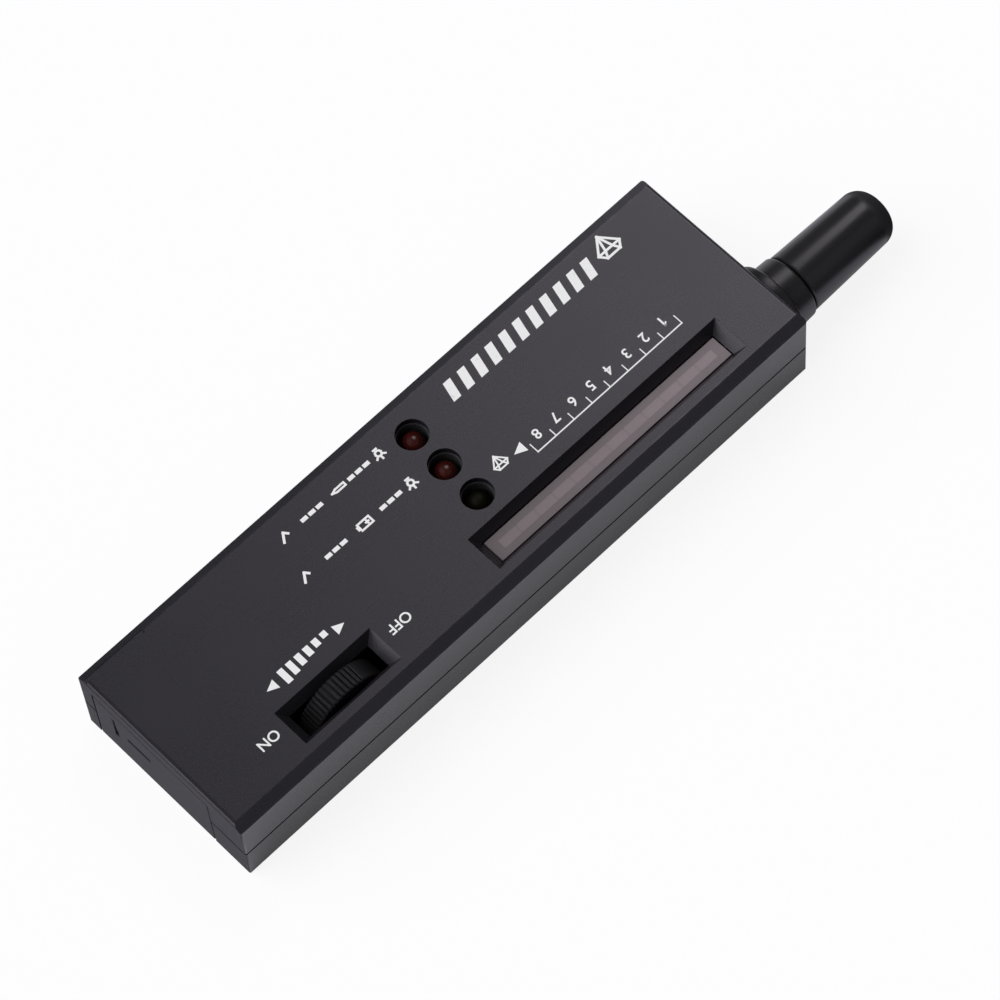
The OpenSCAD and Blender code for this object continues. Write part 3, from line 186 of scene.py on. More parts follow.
def soft_light(name, toward, strength, spread, mirrored):
    """A wide, even light that stands in the direction toward; spread is its angle across."""
    lamp = bpy.data.lights.new(name, "SUN")
    lamp.energy = strength
    lamp.angle = math.radians(spread)
    stand = bpy.data.objects.new(name, lamp)
    stand.rotation_euler = Vector(toward).to_track_quat("Z", "Y").to_euler()
    stand.visible_glossy = mirrored
    bpy.context.collection.objects.link(stand)


soft_light("soft_box", (0.495, 0.345, 0.797), 0.46, 26, True)
soft_light("strip_light", (-0.92, 0.35, 0.16), 0.62, 36, True)
soft_light("front_card", (0.27, -0.73, 0.63), 0.06, 40, True)
soft_light("glint_lamp", (0.356, 0.15, 0.923), 0.055, 6, True)
soft_light("left_fill", (-0.50, 0.38, 0.78), 2.9, 62, False)


# Lower shell: half of the housing, injection moulded in black plastic with a fine spark-eroded grain.
# It takes the boards and the door's runners, and four screws from below hold the upper shell on it.
body_half_length, body_half_width, body_height = 72.0, 21.75, 20.0
chamfer_in, chamfer_down = 2.1, 1.45


def dressed(name, inputs):
    """A material whose shader takes the values and links that inputs(where) gives; where is the place."""
    made = bpy.data.materials.new(name)
    made.use_nodes = True
    tree = made.node_tree
    where = Socket(tree).node("TexCoord", output="Object")
    shader = tree.nodes["Principled BSDF"].inputs
    for key, value in inputs(where).items():
        where.feed(shader[key], value)
    return made


def noise(where, size, detail=2.0, stretch=(1, 1, 1)):
    """Noise from 0 to 1 with lumps about size millimetres across, drawn out by stretch."""
    place = where
    if stretch != (1, 1, 1):
        place = where.node("Mapping", sockets={"Vector": where, "Scale": stretch})
    return where.node("TexNoise", sockets={"Vector": place, "Scale": 1 / (size * mm), "Detail": detail})


def between(value, low, high):
    """0 below low, 1 above high, and a smooth rise between them."""
    return value.node("MapRange", {"interpolation_type": "SMOOTHSTEP"}, {0: value, 1: low, 2: high})


def tint(share, first, second):
    """A colour that goes from the first to the second as share goes from 0 to 1."""
    return share.node("Mix", {"data_type": "RGBA"}, {0: share, 6: first, 7: second}, 2)


def mottled(share, colour, low, high=1.0):
    """A colour that goes from low to high times the one given as share goes from 0 to 1."""
    return tint(share, [part * low for part in colour], [part * high for part in colour])


def bumped(height, strength, depth):
    """A normal from a height; depth is in millimetres."""
    return height.node("Bump", sockets={"Strength": strength, "Distance": depth * mm, "Height": height})


def along(where, axis):
    """The coordinate along X, Y or Z, in millimetres."""
    return where.node("SeparateXYZ", sockets={0: where}, output=axis) * (1 / mm)


def distance(first, second):
    """The straight distance from two offsets at right angles."""
    return first.math("SQRT", first * first + second * second)


def moulded(name, colour, gloss, grain=0.22, wear=None, coarse=None):
    """Moulded plastic: cloudy tone, fine grain, rubbed streaks; wear polishes places, coarse dulls them."""

    def inputs(where):
        cloud = noise(where, 18, 3)
        speck = noise(where, grain, 1)
        rubbed = between(noise(where, 1.4, 2, (0.12, 1, 1)), 0.62, 0.8)
        worn = rubbed * 0.25
        if wear is not None:
            worn = worn + wear(where) * between(noise(where, 2.5, 3), 0.35, 0.7)
        dull = (cloud - 0.5) * 0.06 + (speck - 0.5) * 0.05 - worn * 0.06
        if coarse is not None:
            dull = dull + coarse(where) * 0.45
        plain = mottled(cloud, colour, 0.9, 1.12)
        return {
            "Base Color": tint(worn * 0.35, plain, [part * 2.2 + 0.004 for part in colour]),
            "Roughness": gloss + dull,
            "Normal": bumped(speck, 0.12, 0.02),
            "IOR": 1.5,
            "Specular Tint": (0.965, 0.91, 1.0),
        }

    return dressed(name, inputs)


def housing_edges(where):
    """1 on the ridges of the housing's long chamfers and upright corners, falling to 0 in 0.5 mm."""
    inset = 0.15
    x, y, z = abs(along(where, "X")), abs(along(where, "Y")), along(where, "Z")
    high = distance(y - (body_half_width - chamfer_in), z - body_height)
    low = distance(y - body_half_width, z - (body_height - chamfer_down))
    corner = distance(y - (body_half_width - inset), x - (body_half_length - inset))
    return 1 - between(where.math("MINIMUM", where.math("MINIMUM", high, low), corner), 0.1, 0.55)


def end_faces(where):
    """1 on the two end faces of the housing, where the mould has a coarser grain."""
    return between(abs(along(where, "X")), body_half_length - 0.2, body_half_length - 0.05)


def softened(node, width, steps=2):
    """A copy of a node's mesh: triangles merged into flat faces, edges rounded by width millimetres."""
    merge_reach, flat_angle, sharp_angle = 2e-6, math.radians(0.6), math.radians(32)
    mesh = nodes[node].data.copy()
    work = bmesh.new()
    work.from_mesh(mesh)
    bmesh.ops.remove_doubles(work, verts=work.verts, dist=merge_reach)
    bmesh.ops.dissolve_limit(work, angle_limit=flat_angle, verts=work.verts, edges=work.edges)
    work.to_mesh(mesh)
    work.free()
    mesh.materials.clear()
    mesh.polygons.foreach_set("use_smooth", np.ones(len(mesh.polygons), bool))
    piece = bpy.data.objects.new(node + "_soft", mesh)
    bpy.context.collection.objects.link(piece)
    edge = piece.modifiers.new("rounded_edges", "BEVEL")
    edge.width = width * mm
    edge.segments = steps
    edge.limit_method = "ANGLE"
    edge.angle_limit = sharp_angle
    level = piece.modifiers.new("flat_faces", "WEIGHTED_NORMAL")
    level.weight = 100
    return piece


def fitted(piece, slot, finish, *stands_for, body="housing"):
    """Gives a piece its finish and its body, and lets it stand for the nodes named; slot is not used."""
    piece.data.materials.append(finish)
    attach(piece, body)
    if stands_for:
        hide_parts(*stands_for)


def eased(node, width, slot, finish, body="housing", steps=2):
    """Dresses a node in a copy of its own mesh with rounded edges."""
    fitted(softened(node, width, steps), slot, finish, node, body=body)


shell_black = (0.0123, 0.0118, 0.0152)
shell_gloss = 0.28
shell_finish = moulded("shell_plastic", shell_black, shell_gloss, wear=housing_edges, coarse=end_faces)
eased("lower_shell", 0.16, "housing", shell_finish)


# Touch plate: a strip of stainless sheet under the fingers, set in a shallow recess with a stud through
# the floor. A short lead goes from the stud to the board.
def metal(name, colour, gloss, grain=(1, 1, 1), size=0.5):
    """Bare or plated metal: fine lines drawn out where grain is small, stains and duller patches."""

    def inputs(where):
        line = noise(where, size, 3, grain)
        stain = noise(where, 5, 3)
        return {
            "Base Color": mottled(stain, colour, 0.82),
            "Metallic": 1.0,
            "Roughness": gloss + (line - 0.5) * 0.18 + (stain - 0.5) * 0.12,
            "Normal": bumped(line, 0.10, 0.02),
        }

    return dressed(name, inputs)


def joined(name, grids, closed_rows=False, closed_columns=True):
    """One mesh of several surfaces, each a grid[row, column] of points with quads between neighbours."""
    points = np.concatenate([grid.reshape(-1, 3) for grid in grids]) * mm
    quads, first = [], 0
    for grid in grids:
        rows, columns = grid.shape[:2]
        row = np.arange(rows if closed_rows else rows - 1)[:, None]
        column = np.arange(columns if closed_columns else columns - 1)[None, :]
        row_next, column_next = (row + 1) % rows, (column + 1) % columns
        corner = [(row, column), (row, column_next), (row_next, column_next), (row_next, column)]
        quads.append(np.stack([first + r * columns + c for r, c in corner], -1).reshape(-1, 4))
        first += rows * columns
    mesh = bpy.data.meshes.new(name)
    mesh.from_pydata(points.tolist(), [], np.concatenate(quads).tolist())
    return closed(name, mesh)


def closed(name, mesh, crease=38, merge_reach=1e-7, least_edge=1e-8):
    """An object of that mesh: doubles merged, faces outward, smooth but for edges sharper than crease."""
    work = bmesh.new()
    work.from_mesh(mesh)
    bmesh.ops.remove_doubles(work, verts=work.verts, dist=merge_reach)
    bmesh.ops.dissolve_degenerate(work, edges=work.edges, dist=least_edge)
    bmesh.ops.recalc_face_normals(work, faces=work.faces)
    work.to_mesh(mesh)
    work.free()
    mesh.polygons.foreach_set("use_smooth", np.ones(len(mesh.polygons), bool))
    mesh.set_sharp_from_angle(angle=math.radians(crease))
    piece = bpy.data.objects.new(name, mesh)
    bpy.context.collection.objects.link(piece)
    return piece


def tube(path, radius, across, sides=14):
    """A round wire: rings of that radius square to the path, their axes from across, closed at both ends."""
    step = np.gradient(path, axis=0)
    step /= np.linalg.norm(step, axis=1)[:, None]
    first = np.cross(step, across)
    first /= np.linalg.norm(first, axis=1)[:, None]
    second = np.cross(first, step)
    turn = np.linspace(0, 2 * np.pi, sides, endpoint=False)
    ring = np.cos(turn)[None, :, None] * first[:, None] + np.sin(turn)[None, :, None] * second[:, None]
    wall = path[:, None] + radius * ring
    ends = [np.repeat(path[[place]], sides, axis=0)[None] for place in (0, -1)]
    return np.concatenate([ends[0], wall, ends[1]])


def sleeved(name, colour, other=None, split=0.0):
    """PVC sleeve on a lead: even colour with handling marks; beyond y = split it takes the other colour."""

    def inputs(where):
        mark = noise(where, 1.2, 3)
        shade = mottled(mark, colour, 0.8)
        if other is not None:
            side = along(where, "Y") > split
            shade = tint(side, shade, mottled(mark, other, 0.8))
        return {"Base Color": shade, "Roughness": 0.35 + (mark - 0.5) * 0.15}

    return dressed(name, inputs)


def straight(start, finish, count=12):
    """Points at even steps from start to finish."""
    share = np.linspace(0, 1, count)[:, None]
    return np.array(start) * (1 - share) + np.array(finish) * share


plate_steel = metal("touch_plate_steel", (0.62, 0.62, 0.63), 0.30, (0.05, 1, 1))
eased("touch_plate", 0.08, "bare_steel", plate_steel)
lead_radius = 0.55
touch_lead = joined("touch_lead", [tube(straight((30.5, 0, 2.2), (30.5, 0, 7.4)), lead_radius, (1, 0, 0))])
fitted(touch_lead, "lead_sleeve", sleeved("green_sleeve", (0.02, 0.16, 0.05)), "touch_plate_lead")


# Screws: zinc-plated steel with cross recesses. Four long ones draw the shells together from below,
# two short ones hold the board on its posts.
zinc = metal("zinc_plate", (0.60, 0.61, 0.64), 0.33, size=0.25)
eased("case_screws", 0.10, "zinc_steel", zinc)
eased("board_screws", 0.08, "zinc_steel", zinc)


# Boards: glass-fibre laminate under a green solder mask, with copper traces that show as paler ridges.
# The main board lies on two posts, the small upright one stands against the near wall.
def laminate(name, level):
    """Solder mask over traces: a brick pattern on a 2.54 mm grid, with tinned dots for the joints."""

    def inputs(where):
        place = where.node("Mapping", sockets={"Vector": where, "Rotation": level})
        trace = where.node(
            "TexBrick",
            sockets={"Vector": place, "Scale": 1 / (2.54 * mm), "Mortar Size": 0.09, "Mortar Smooth": 0.2,
                     "Brick Width": 3.0, "Row Height": 0.5},
            output="Fac",
        )
        joint = where.node(
            "TexVoronoi", {"feature": "F1"}, {"Vector": place, "Scale": 1 / (3.4 * mm), "Randomness": 0.6}
        )
        tinned = 1 - between(joint, 0.13, 0.17)
        weave = noise(where, 0.7, 2)
        mask = tint(trace, (0.008, 0.060, 0.022), (0.020, 0.130, 0.045))
        return {
            "Base Color": tint(tinned, mask, (0.55, 0.56, 0.57)),
            "Metallic": tinned,
            "Roughness": 0.34 + (weave - 0.5) * 0.12,
            "Normal": bumped(trace + tinned + weave * 0.2, 0.3, 0.04),
        }

    return dressed(name, inputs)


board_finish = laminate("board_mask", (0, 0, 0))
eased("main_board", 0.06, "circuit_board", board_finish)
upright_finish = laminate("upright_board_mask", (math.pi / 2, 0, 0))
eased("volume_board", 0.06, "circuit_board", upright_finish)


# Parts on the board: two chips, three transistors, five resistors, two cans, three discs, two trimmers
# and a buzzer, all with tinned legs soldered through the board.
board_top, chip_stand, chip_half, resistor_half = 9.0, 0.49, 3.21, 3.01
can_stripe, can_lid, trimmer_top = 2.55, 6.9, 4.52
tinned_legs = (0.66, 0.66, 0.67)


def box_of(node):
    """The low and the high corner of a CAD node's box, in millimetres."""
    corners = np.array([list(corner) for corner in nodes[node].bound_box]) / mm
    return corners.min(0), corners.max(0)


def middle(node):
    """The middle of a CAD node's box, in millimetres."""
    return sum(box_of(node)) / 2


def legged(name, colour, body_share, gloss=0.45, marks=None):
    """A coated body on tinned legs: body_share(where) is 1 on the body; marks(where, shade) colours it."""

    def inputs(where):
        body = body_share(where)
        cloud = noise(where, 1.5, 3)
        speck = noise(where, 0.18, 1)
        shade = mottled(cloud, colour, 0.85, 1.1)
        if marks is not None:
            shade = marks(where, shade)
        return {
            "Base Color": tint(body, tinned_legs, shade),
            "Metallic": 1 - body,
            "Roughness": 0.3 + body * (gloss - 0.3) + (cloud - 0.5) * 0.1,
            "Normal": bumped(speck * body + cloud * 0.3, 0.2, 0.03),
        }

    return dressed(name, inputs)


def chip_body(chip_y):
    """The chip's block lies over its stand and within its width; the bent legs are outside it."""

    def share(where):
        return (along(where, "Z") > board_top + chip_stand) * (abs(along(where, "Y") - chip_y) < chip_half)

    return share


def above(height):
    """The body begins at that height over the board."""
    return lambda where: along(where, "Z") > board_top + height


def resistor_body(where):
    """A resistor's body lies in the middle third of its length."""
    return abs(along(where, "Y") - middle("resistors")[1]) < resistor_half


def colour_rings(where, shade):
    """Three rings of lacquer round a resistor, brown, black and orange, and a gold one at its end."""
    y = along(where, "Y") - middle("resistors")[1]
    for place, colour in (
        (-1.9, (0.12, 0.035, 0.01)), (-0.8, (0.01, 0.01, 0.01)),
        (0.3, (0.55, 0.14, 0.01)), (1.9, (0.45, 0.28, 0.05)),
    ):
        shade = tint(1 - between(abs(y - place), 0.22, 0.28), shade, colour)
    return shade


def can_sleeve(where, shade):
    """The can's printed sleeve: a pale stripe on one side, and bare aluminium inside the top edge."""
    side = along(where, "X") - middle("electrolytic_capacitors")[0]
    stripe = between(side, can_stripe, can_stripe + 0.1)
    lid = between(along(where, "Z") - board_top, can_lid, can_lid + 0.08)
    return tint(lid, tint(stripe, shade, (0.45, 0.48, 0.52)), (0.6, 0.6, 0.6))


def trimmer_screw(where, shade):
    """The pale turning screw that stands above a trimmer's case."""
    return tint(along(where, "Z") > board_top + trimmer_top, shade, (0.75, 0.73, 0.66))


def chip(name, node):
    """The material of a chip, whose block is found from its node's box."""
    return legged(name, epoxy, chip_body(middle(node)[1]))


everywhere = above(-1)
epoxy = (0.012, 0.012, 0.013)
for node, width, slot, finish in (
    ("amplifier_chip", 0.10, "black_plastic", chip("amplifier_epoxy", "amplifier_chip")),
    ("bar_driver_chip", 0.10, "black_plastic", chip("driver_epoxy", "bar_driver_chip")),
    ("transistors", 0.10, "black_plastic", legged("transistor_epoxy", epoxy, above(1.99), 0.4)),
    ("resistors", 0.20, "resistor_body",
     legged("resistor_lacquer", (0.42, 0.30, 0.17), resistor_body, 0.3, colour_rings)),
    ("electrolytic_capacitors", 0.30, "capacitor_sleeve",
     legged("can_sleeve", (0.012, 0.02, 0.07), everywhere, 0.28, can_sleeve)),
    ("disc_capacitors", 0.40, "disc_coating",
     legged("disc_coating", (0.42, 0.17, 0.03), above(1.0), 0.4)),
    ("calibration_trimmers", 0.12, "trimmer_case",
     legged("trimmer_case", (0.015, 0.06, 0.30), everywhere, 0.35, trimmer_screw)),
    ("buzzer", 0.25, "black_plastic", moulded("buzzer_plastic", epoxy, 0.5)),
):
    eased(node, width, slot, finish)


# Bar display: a block of mauve-grey resin behind the window, with twelve paler segments cast flush
# in its face. Unlit segments show only as a slightly pinker row.
display_mauve = (0.134, 0.108, 0.118)
segment_pink = (0.200, 0.160, 0.173)
row_y, display_x = -13.5, 28.25
display_half, display_levels = (29.7, 2.55), (9.0, 17.5)
segment_count, segment_step = 12, 4.63
segment_half, segment_levels = (2.075, 0.975), (17.3, 17.512)
bleached_half = (27.3, 0.75)


def segment_row(where):
    """1 along the row of segments, where light from the diodes has bleached the resin between them."""
    half_length, half_width = bleached_half
    across = 1 - between(abs(along(where, "Y") - row_y), half_width, half_width + 0.3)
    return across * (1 - between(abs(along(where, "X") - display_x), half_length, half_length + 0.4))


def resin(name, colour, gloss, bleached=None):
    """Milky cast resin: fine cross lines of the diffusing film, cloudy depth, a smooth moulded face, and
    painted shade that darkens it towards the battery end.
    """

    def inputs(where):
        x, y = along(where, "X"), along(where, "Y")
        film = where.math("SINE", x * (2 * math.pi / 0.58)) * where.math("SINE", y * (2 * math.pi / 0.65))
        cloud = noise(where, 6, 3)
        shade = mottled(cloud, colour, 0.86, 1.1)
        if bleached is not None:
            shade = tint(bleached(where) * 0.7, shade, segment_pink)
        # Painted shade: the colour darkens by up to 28 % towards the battery end of the display.
        shade = tint((1 - between(x, -10, 60)) * 0.28, shade, (0, 0, 0))
        return {
            "Base Color": tint(between(film, 0.1, 0.9) * 0.22, shade, [part * 0.62 for part in colour]),
            "Roughness": gloss + (cloud - 0.5) * 0.08,
            "Normal": bumped(film, 0.06, 0.02),
        }

    return dressed(name, inputs)


def blocks(name, places, half, levels, edge):
    """Upright blocks round places: rings of half length and width at two levels, edges rounded by edge."""
    ring = np.array([(-1, -1), (1, -1), (1, 1), (-1, 1)]) * half
    spread = np.array([0, 1, 1, 0])[:, None, None]
    level = np.repeat(levels, 2)[:, None, None] + np.zeros((4, 4, 1))
    grids = [np.concatenate([np.array(place) + spread * ring[None], level], -1) for place in places]
    piece = joined(name, grids)
    corner = piece.modifiers.new("rounded_edges", "BEVEL")
    corner.width, corner.segments, corner.limit_method = edge * mm, 2, "ANGLE"
    return piece


display_piece = blocks("bar_display_cast", [(display_x, row_y)], display_half, display_levels, 0.12)
display_finish = resin("display_resin", display_mauve, 0.36, segment_row)
fitted(display_piece, "display_body", display_finish, "bar_display")
segment_x = display_x + segment_step * (np.arange(segment_count) - (segment_count - 1) / 2)
segment_places = np.stack([segment_x, np.full(segment_count, row_y)], 1)
segment_piece = blocks("display_segments_cast", segment_places, segment_half, segment_levels, 0.01)
segment_finish = resin("segment_resin", segment_pink, 0.36)
fitted(segment_piece, "display_segment", segment_finish, "display_segments")


# Lamps: three light-emitting diodes on the board, each a round-nosed lens of tinted resin cast over a
# steel frame with a small reflector cup, in a black sleeve that keeps its light to its own hole.
lamp_x, lens_radius, dome_z = 4.0, 2.5, 16.0
lamp_places = {"ready_lamp": 13.4, "battery_lamp": 4.75, "diamond_lamp": -3.9}


def rounded(corners, radii, steps=6):
    """A line through corners with each one turned into an exact circle arc, a weighted quadratic curve."""
    corner = np.array(corners, float)
    radius = np.array(radii, float)
    before = np.roll(corner, 1, axis=0) - corner
    after = np.roll(corner, -1, axis=0) - corner
    before /= np.maximum(np.linalg.norm(before, axis=1), 1e-9)[:, None]
    after /= np.maximum(np.linalg.norm(after, axis=1), 1e-9)[:, None]
    half = np.arccos(np.clip((before * after).sum(1), -1, 1)) / 2
    reach = (radius / np.maximum(np.tan(half), 1e-6))[:, None]
    weight = np.sin(half)[:, None, None]
    share = np.linspace(0, 1, steps)[None, :, None]
    low, peak, high = (1 - share) ** 2, 2 * weight * share * (1 - share), share ** 2
    start, finish = (corner + reach * before)[:, None], (corner + reach * after)[:, None]
    line = ((low * start + peak * corner[:, None] + high * finish) / (low + peak + high)).reshape(-1, 2)
    moved = np.linalg.norm(np.diff(line, axis=0), axis=1) > 1e-6
    return line[np.concatenate([[True], moved])]


def arc(x, y, radius, start, finish, count):
    """Points on a circle of that radius round x, y, from one angle to another in degrees."""
    turn = np.radians(np.linspace(start, finish, count))
    return np.stack([x + radius * np.cos(turn), y + radius * np.sin(turn)], 1)


def turned(name, line, centre, axis, count=96, hollow=False):
    """A turned piece: each (place along the axis, radius) of the line goes round the axis at centre.

    A hollow piece's line closes on itself; any other's starts and ends on the axis.
    """
    turn = np.linspace(0, 2 * np.pi, count, endpoint=False)[None, :]
    place, radius = line[:, :1], line[:, 1:]
    first, second, level = radius * np.cos(turn), radius * np.sin(turn), place + 0 * turn
    parts = {"x": (level, first, second), "y": (second, level, first), "z": (first, second, level)}[axis]
    keep = {"x": (0, 1, 1), "y": (1, 0, 1), "z": (1, 1, 0)}[axis]
    return joined(name, [np.stack(parts, -1) + np.array(centre) * keep], closed_rows=hollow)


def lens_resin(name, deep, bright, gloss, bend):
    """Tinted clear resin with swirls inside and a painted glow: the colour is bright at the nose and deep
    down its sides; bend is its index.
    """

    def inputs(where):
        swirl = noise(where, 1.1, 3)
        # Painted glow and highlight: the colour goes from deep to bright as the dome rises to its nose.
        high = between(along(where, "Z"), dome_z + 0.3, dome_z + lens_radius)
        return {
            "Base Color": tint(high * (0.55 + swirl * 0.9), deep, bright),
            "Roughness": gloss + (1 - high) * 0.2 + swirl * 0.05,
            "Transmission Weight": 0.4,
            "IOR": bend,
        }

    return dressed(name, inputs)


lens_foot = rounded(
    [(15.5, lens_radius), (10, lens_radius), (10, 2.9), (board_top, 2.9), (board_top, 0)],
    [0, 0.15, 0.12, 0.12, 0],
)
lens_line = np.concatenate([arc(dome_z, 0, lens_radius, 0, 90, 14), lens_foot])
cup_line = rounded(
    [(14.8, 0), (14.8, 0.35), (15.5, 0.8), (15.5, 1.0), (14.4, 0.75), (13.9, 0.3), (9.2, 0.3), (9.2, 0)],
    [0, 0.1, 0.05, 0.08, 0.2, 0.2, 0.05, 0],
)
sleeve_line = rounded([(9.05, 3.05), (9.05, 3.8), (18.3, 3.8), (18.3, 3.05)], [0.1, 0.1, 0.15, 0.1], 4)
red_resin = lens_resin("red_resin", (0.006, 0.001, 0.001), (0.052, 0.007, 0.005), 0.16, 1.40)
olive_resin = lens_resin("olive_resin", (0.002, 0.002, 0.001), (0.004, 0.0036, 0.0012), 0.45, 1.2)
sleeve_finish = moulded("lamp_sleeve_plastic", (0.028, 0.028, 0.030), 0.5, 0.3)
cup_steel = metal("lamp_frame_steel", (0.7, 0.68, 0.64), 0.28, size=0.2)
for lamp, y in lamp_places.items():
    place = (lamp_x, y, 0)
    slot, lens_finish = ("green_lens", olive_resin) if lamp == "diamond_lamp" else ("red_lens", red_resin)
    lens_piece = turned(lamp + "_lens", lens_line, place, "z", 64)
    fitted(lens_piece, slot, lens_finish, lamp)
    cup = turned(lamp + "_cup", cup_line, place, "z", 32)
    fitted(cup, "bare_steel", cup_steel)
    sleeve = turned(lamp + "_sleeve", sleeve_line, place, "z", 64, hollow=True)
    fitted(sleeve, "black_plastic", sleeve_finish)


# Volume control: a switched pot in a stamped case on the upright board, with a brass shaft. The black
# thumbwheel is pressed on the shaft and held by a screw; its rim has ridges but for a smooth stretch at OFF.
stamped = metal("pot_case_steel", (0.55, 0.55, 0.56), 0.36, (1, 0.06, 1))
eased("volume_pot", 0.20, "pot_case", stamped)
brass_finish = metal("brass_bar", (0.66, 0.46, 0.17), 0.27, (1, 0.05, 1), 0.3)
eased("pot_terminals", 0.06, "brass", brass_finish)
eased("wheel_rotor", 0.08, "brass", brass_finish, "wheel")
eased("wheel_screw", 0.08, "zinc_steel", zinc, "wheel")

wheel_x, wheel_z, wheel_radius = -39.95, 11.4, 8.9
wheel_low, wheel_high = -15.75, -11.25
ridge_count, smooth_count, smooth_turn, ridge_depth = 54, 8, 54.67, 0.48
flank_steepness, fade_turn, fade_depth = 3.2, 1.5, 1.0
wheel_line = rounded(
    [(-13.55, 0.9), (-13.55, 2.03), (wheel_low, 2.03), (wheel_low, wheel_radius),
     (wheel_high, wheel_radius), (wheel_high, 2.0), (-12.41, 2.0), (-12.41, 0.9)],
    [0, 0, 0.1, 0.42, 0.42, 0.1, 0, 0], 8,
)


def ridged(line, steps=10):
    """The turned wheel with its rim cut in: radius less depth times a rounded square wave of the angle.

    The wave has one period for each ridge place, and fades out over the smooth stretch. The cut fades in
    from fade_depth inside the rim, so that the faces stay flat.
    """
    turn = np.linspace(0, 2 * np.pi, ridge_count * steps, endpoint=False)
    wave = 0.5 - 0.5 * np.tanh(flank_steepness * np.cos(ridge_count * turn)) / np.tanh(flank_steepness)
    away = np.abs((turn - np.radians(smooth_turn) + np.pi) % (2 * np.pi) - np.pi)
    half_smooth = np.pi * smooth_count / ridge_count
    wave = wave * np.clip((away - half_smooth) / np.radians(fade_turn), 0, 1)
    place, radius = line[:, :1], line[:, 1:]
    cut = np.clip((radius - wheel_radius + fade_depth) / fade_depth, 0, 1)
    radius = radius - ridge_depth * cut * wave[None, :]
    side, up = radius * np.sin(turn), radius * np.cos(turn)
    return np.stack([wheel_x + side, place + 0 * side, wheel_z + up], -1)


def ridge_tops(where):
    """1 on the rim, where fingers polish the ridges, and 0 in the grooves."""
    x, z = along(where, "X") - wheel_x, along(where, "Z") - wheel_z
    return between(distance(x, z), wheel_radius - 0.3, wheel_radius - 0.05)


wheel_black = (0.0035, 0.0035, 0.0037)
wheel_finish = moulded("wheel_plastic", wheel_black, 0.52, 0.15, ridge_tops)
wheel_piece = joined("thumbwheel", [ridged(wheel_line)], closed_rows=True)
fitted(wheel_piece, "black_plastic", wheel_finish, "volume_wheel", body="wheel")


def curve(start, leave, finish, arrive, reach, run=0.6, count=24):
    """A lead's way: straight out of one place, a cubic bend with handles of length reach, straight in."""
    start, leave, finish, arrive = (np.array(part, float) for part in (start, leave, finish, arrive))
    low, high = start + run * leave, finish - run * arrive
    t = np.linspace(0, 1, count)[:, None]
    bend = (
        (1 - t) ** 3 * low + 3 * t * (1 - t) ** 2 * (low + reach * leave)
        + 3 * t ** 2 * (1 - t) * (high - reach * arrive) + t ** 3 * high
    )
    return np.concatenate([start[None], bend, finish[None]])


down = (0, 0, -1)
volume_ways = [
    curve((-27.95, -19.05, 11 + lift), (0, 1, 0), (-14.65, -11.5 + lift, board_top), down, 4)
    for lift in (0, 2, 4)
]
volume_leads = joined("volume_wires", [tube(way, lead_radius, (0, 1, 1)) for way in volume_ways])
fitted(volume_leads, "lead_sleeve", sleeved("orange_sleeve", (0.50, 0.13, 0.01)), "volume_leads")


# Battery: a 9 V block in a plain lacquered jacket of tinned sheet, with two press-stud poles on its end
# and a snap connector, whose red and black leads run to the board.
battery_x, battery_y = middle("battery")[:2]


def jacket(where):
    """Tinned sheet: a grey-blue lacquer with fine rolling lines, rubbed through to steel on the edges."""
    line = noise(where, 0.4, 3, (0.04, 1, 1))
    cloud = noise(where, 9, 3)
    end = between(abs(along(where, "X") - battery_x), 22.2, 22.8)
    rub = where.math("MAXIMUM", end, between(cloud, 0.66, 0.78) * 0.5)
    return {
        "Base Color": tint(rub, (0.055, 0.075, 0.105), (0.58, 0.58, 0.6)),
        "Metallic": 0.35 + rub * 0.65,
        "Roughness": 0.34 + (line - 0.5) * 0.15,
        "Normal": bumped(line, 0.08, 0.02),
    }


eased("battery", 0.30, "battery_case", dressed("battery_jacket", jacket))
pole_steel = metal("pole_steel", (0.66, 0.66, 0.65), 0.25, size=0.3)
eased("battery_terminals", 0.35, "bare_steel", pole_steel, steps=3)
snap_finish = moulded("snap_plastic", (0.014, 0.014, 0.015), 0.5)
eased("battery_snap", 0.25, "black_plastic", snap_finish)
battery_ways = [
    curve((-18.65, battery_y + side, 11.5), (1, 0, 0), (-15.15, battery_y + side, board_top), down, 1.6)
    for side in (-1, 1)
]
battery_leads = joined("battery_wires", [tube(way, lead_radius, (0, 1, 0)) for way in battery_ways])
red_and_black = sleeved("battery_sleeves", (0.42, 0.015, 0.012), (0.012, 0.012, 0.013), battery_y)
fitted(battery_leads, "lead_sleeve", red_and_black, "battery_leads")


# Battery door: moulded in the housing's plastic as an end flap with a bottom plate on two runners; it
# slides out at the end. A foam pad glued on the plate presses the battery up.
eased("battery_door", 0.14, "housing", shell_finish, "door")


def foam(where):
    """Open-cell foam: round pores of two sizes with painted shade inside them, and no gloss."""
    # Painted shade: the colour darkens towards the middle of each pore.
    pores = where.node("TexVoronoi", {"feature": "F1"}, {"Vector": where, "Scale": 1 / (0.55 * mm)})
    fine = noise(where, 0.2, 2)
    return {
        "Base Color": tint(pores, (0.008, 0.008, 0.009), (0.05, 0.05, 0.053)),
        "Roughness": 0.9 + (fine - 0.5) * 0.1,
        "Normal": bumped(pores + fine * 0.3, 0.6, 0.12),
    }


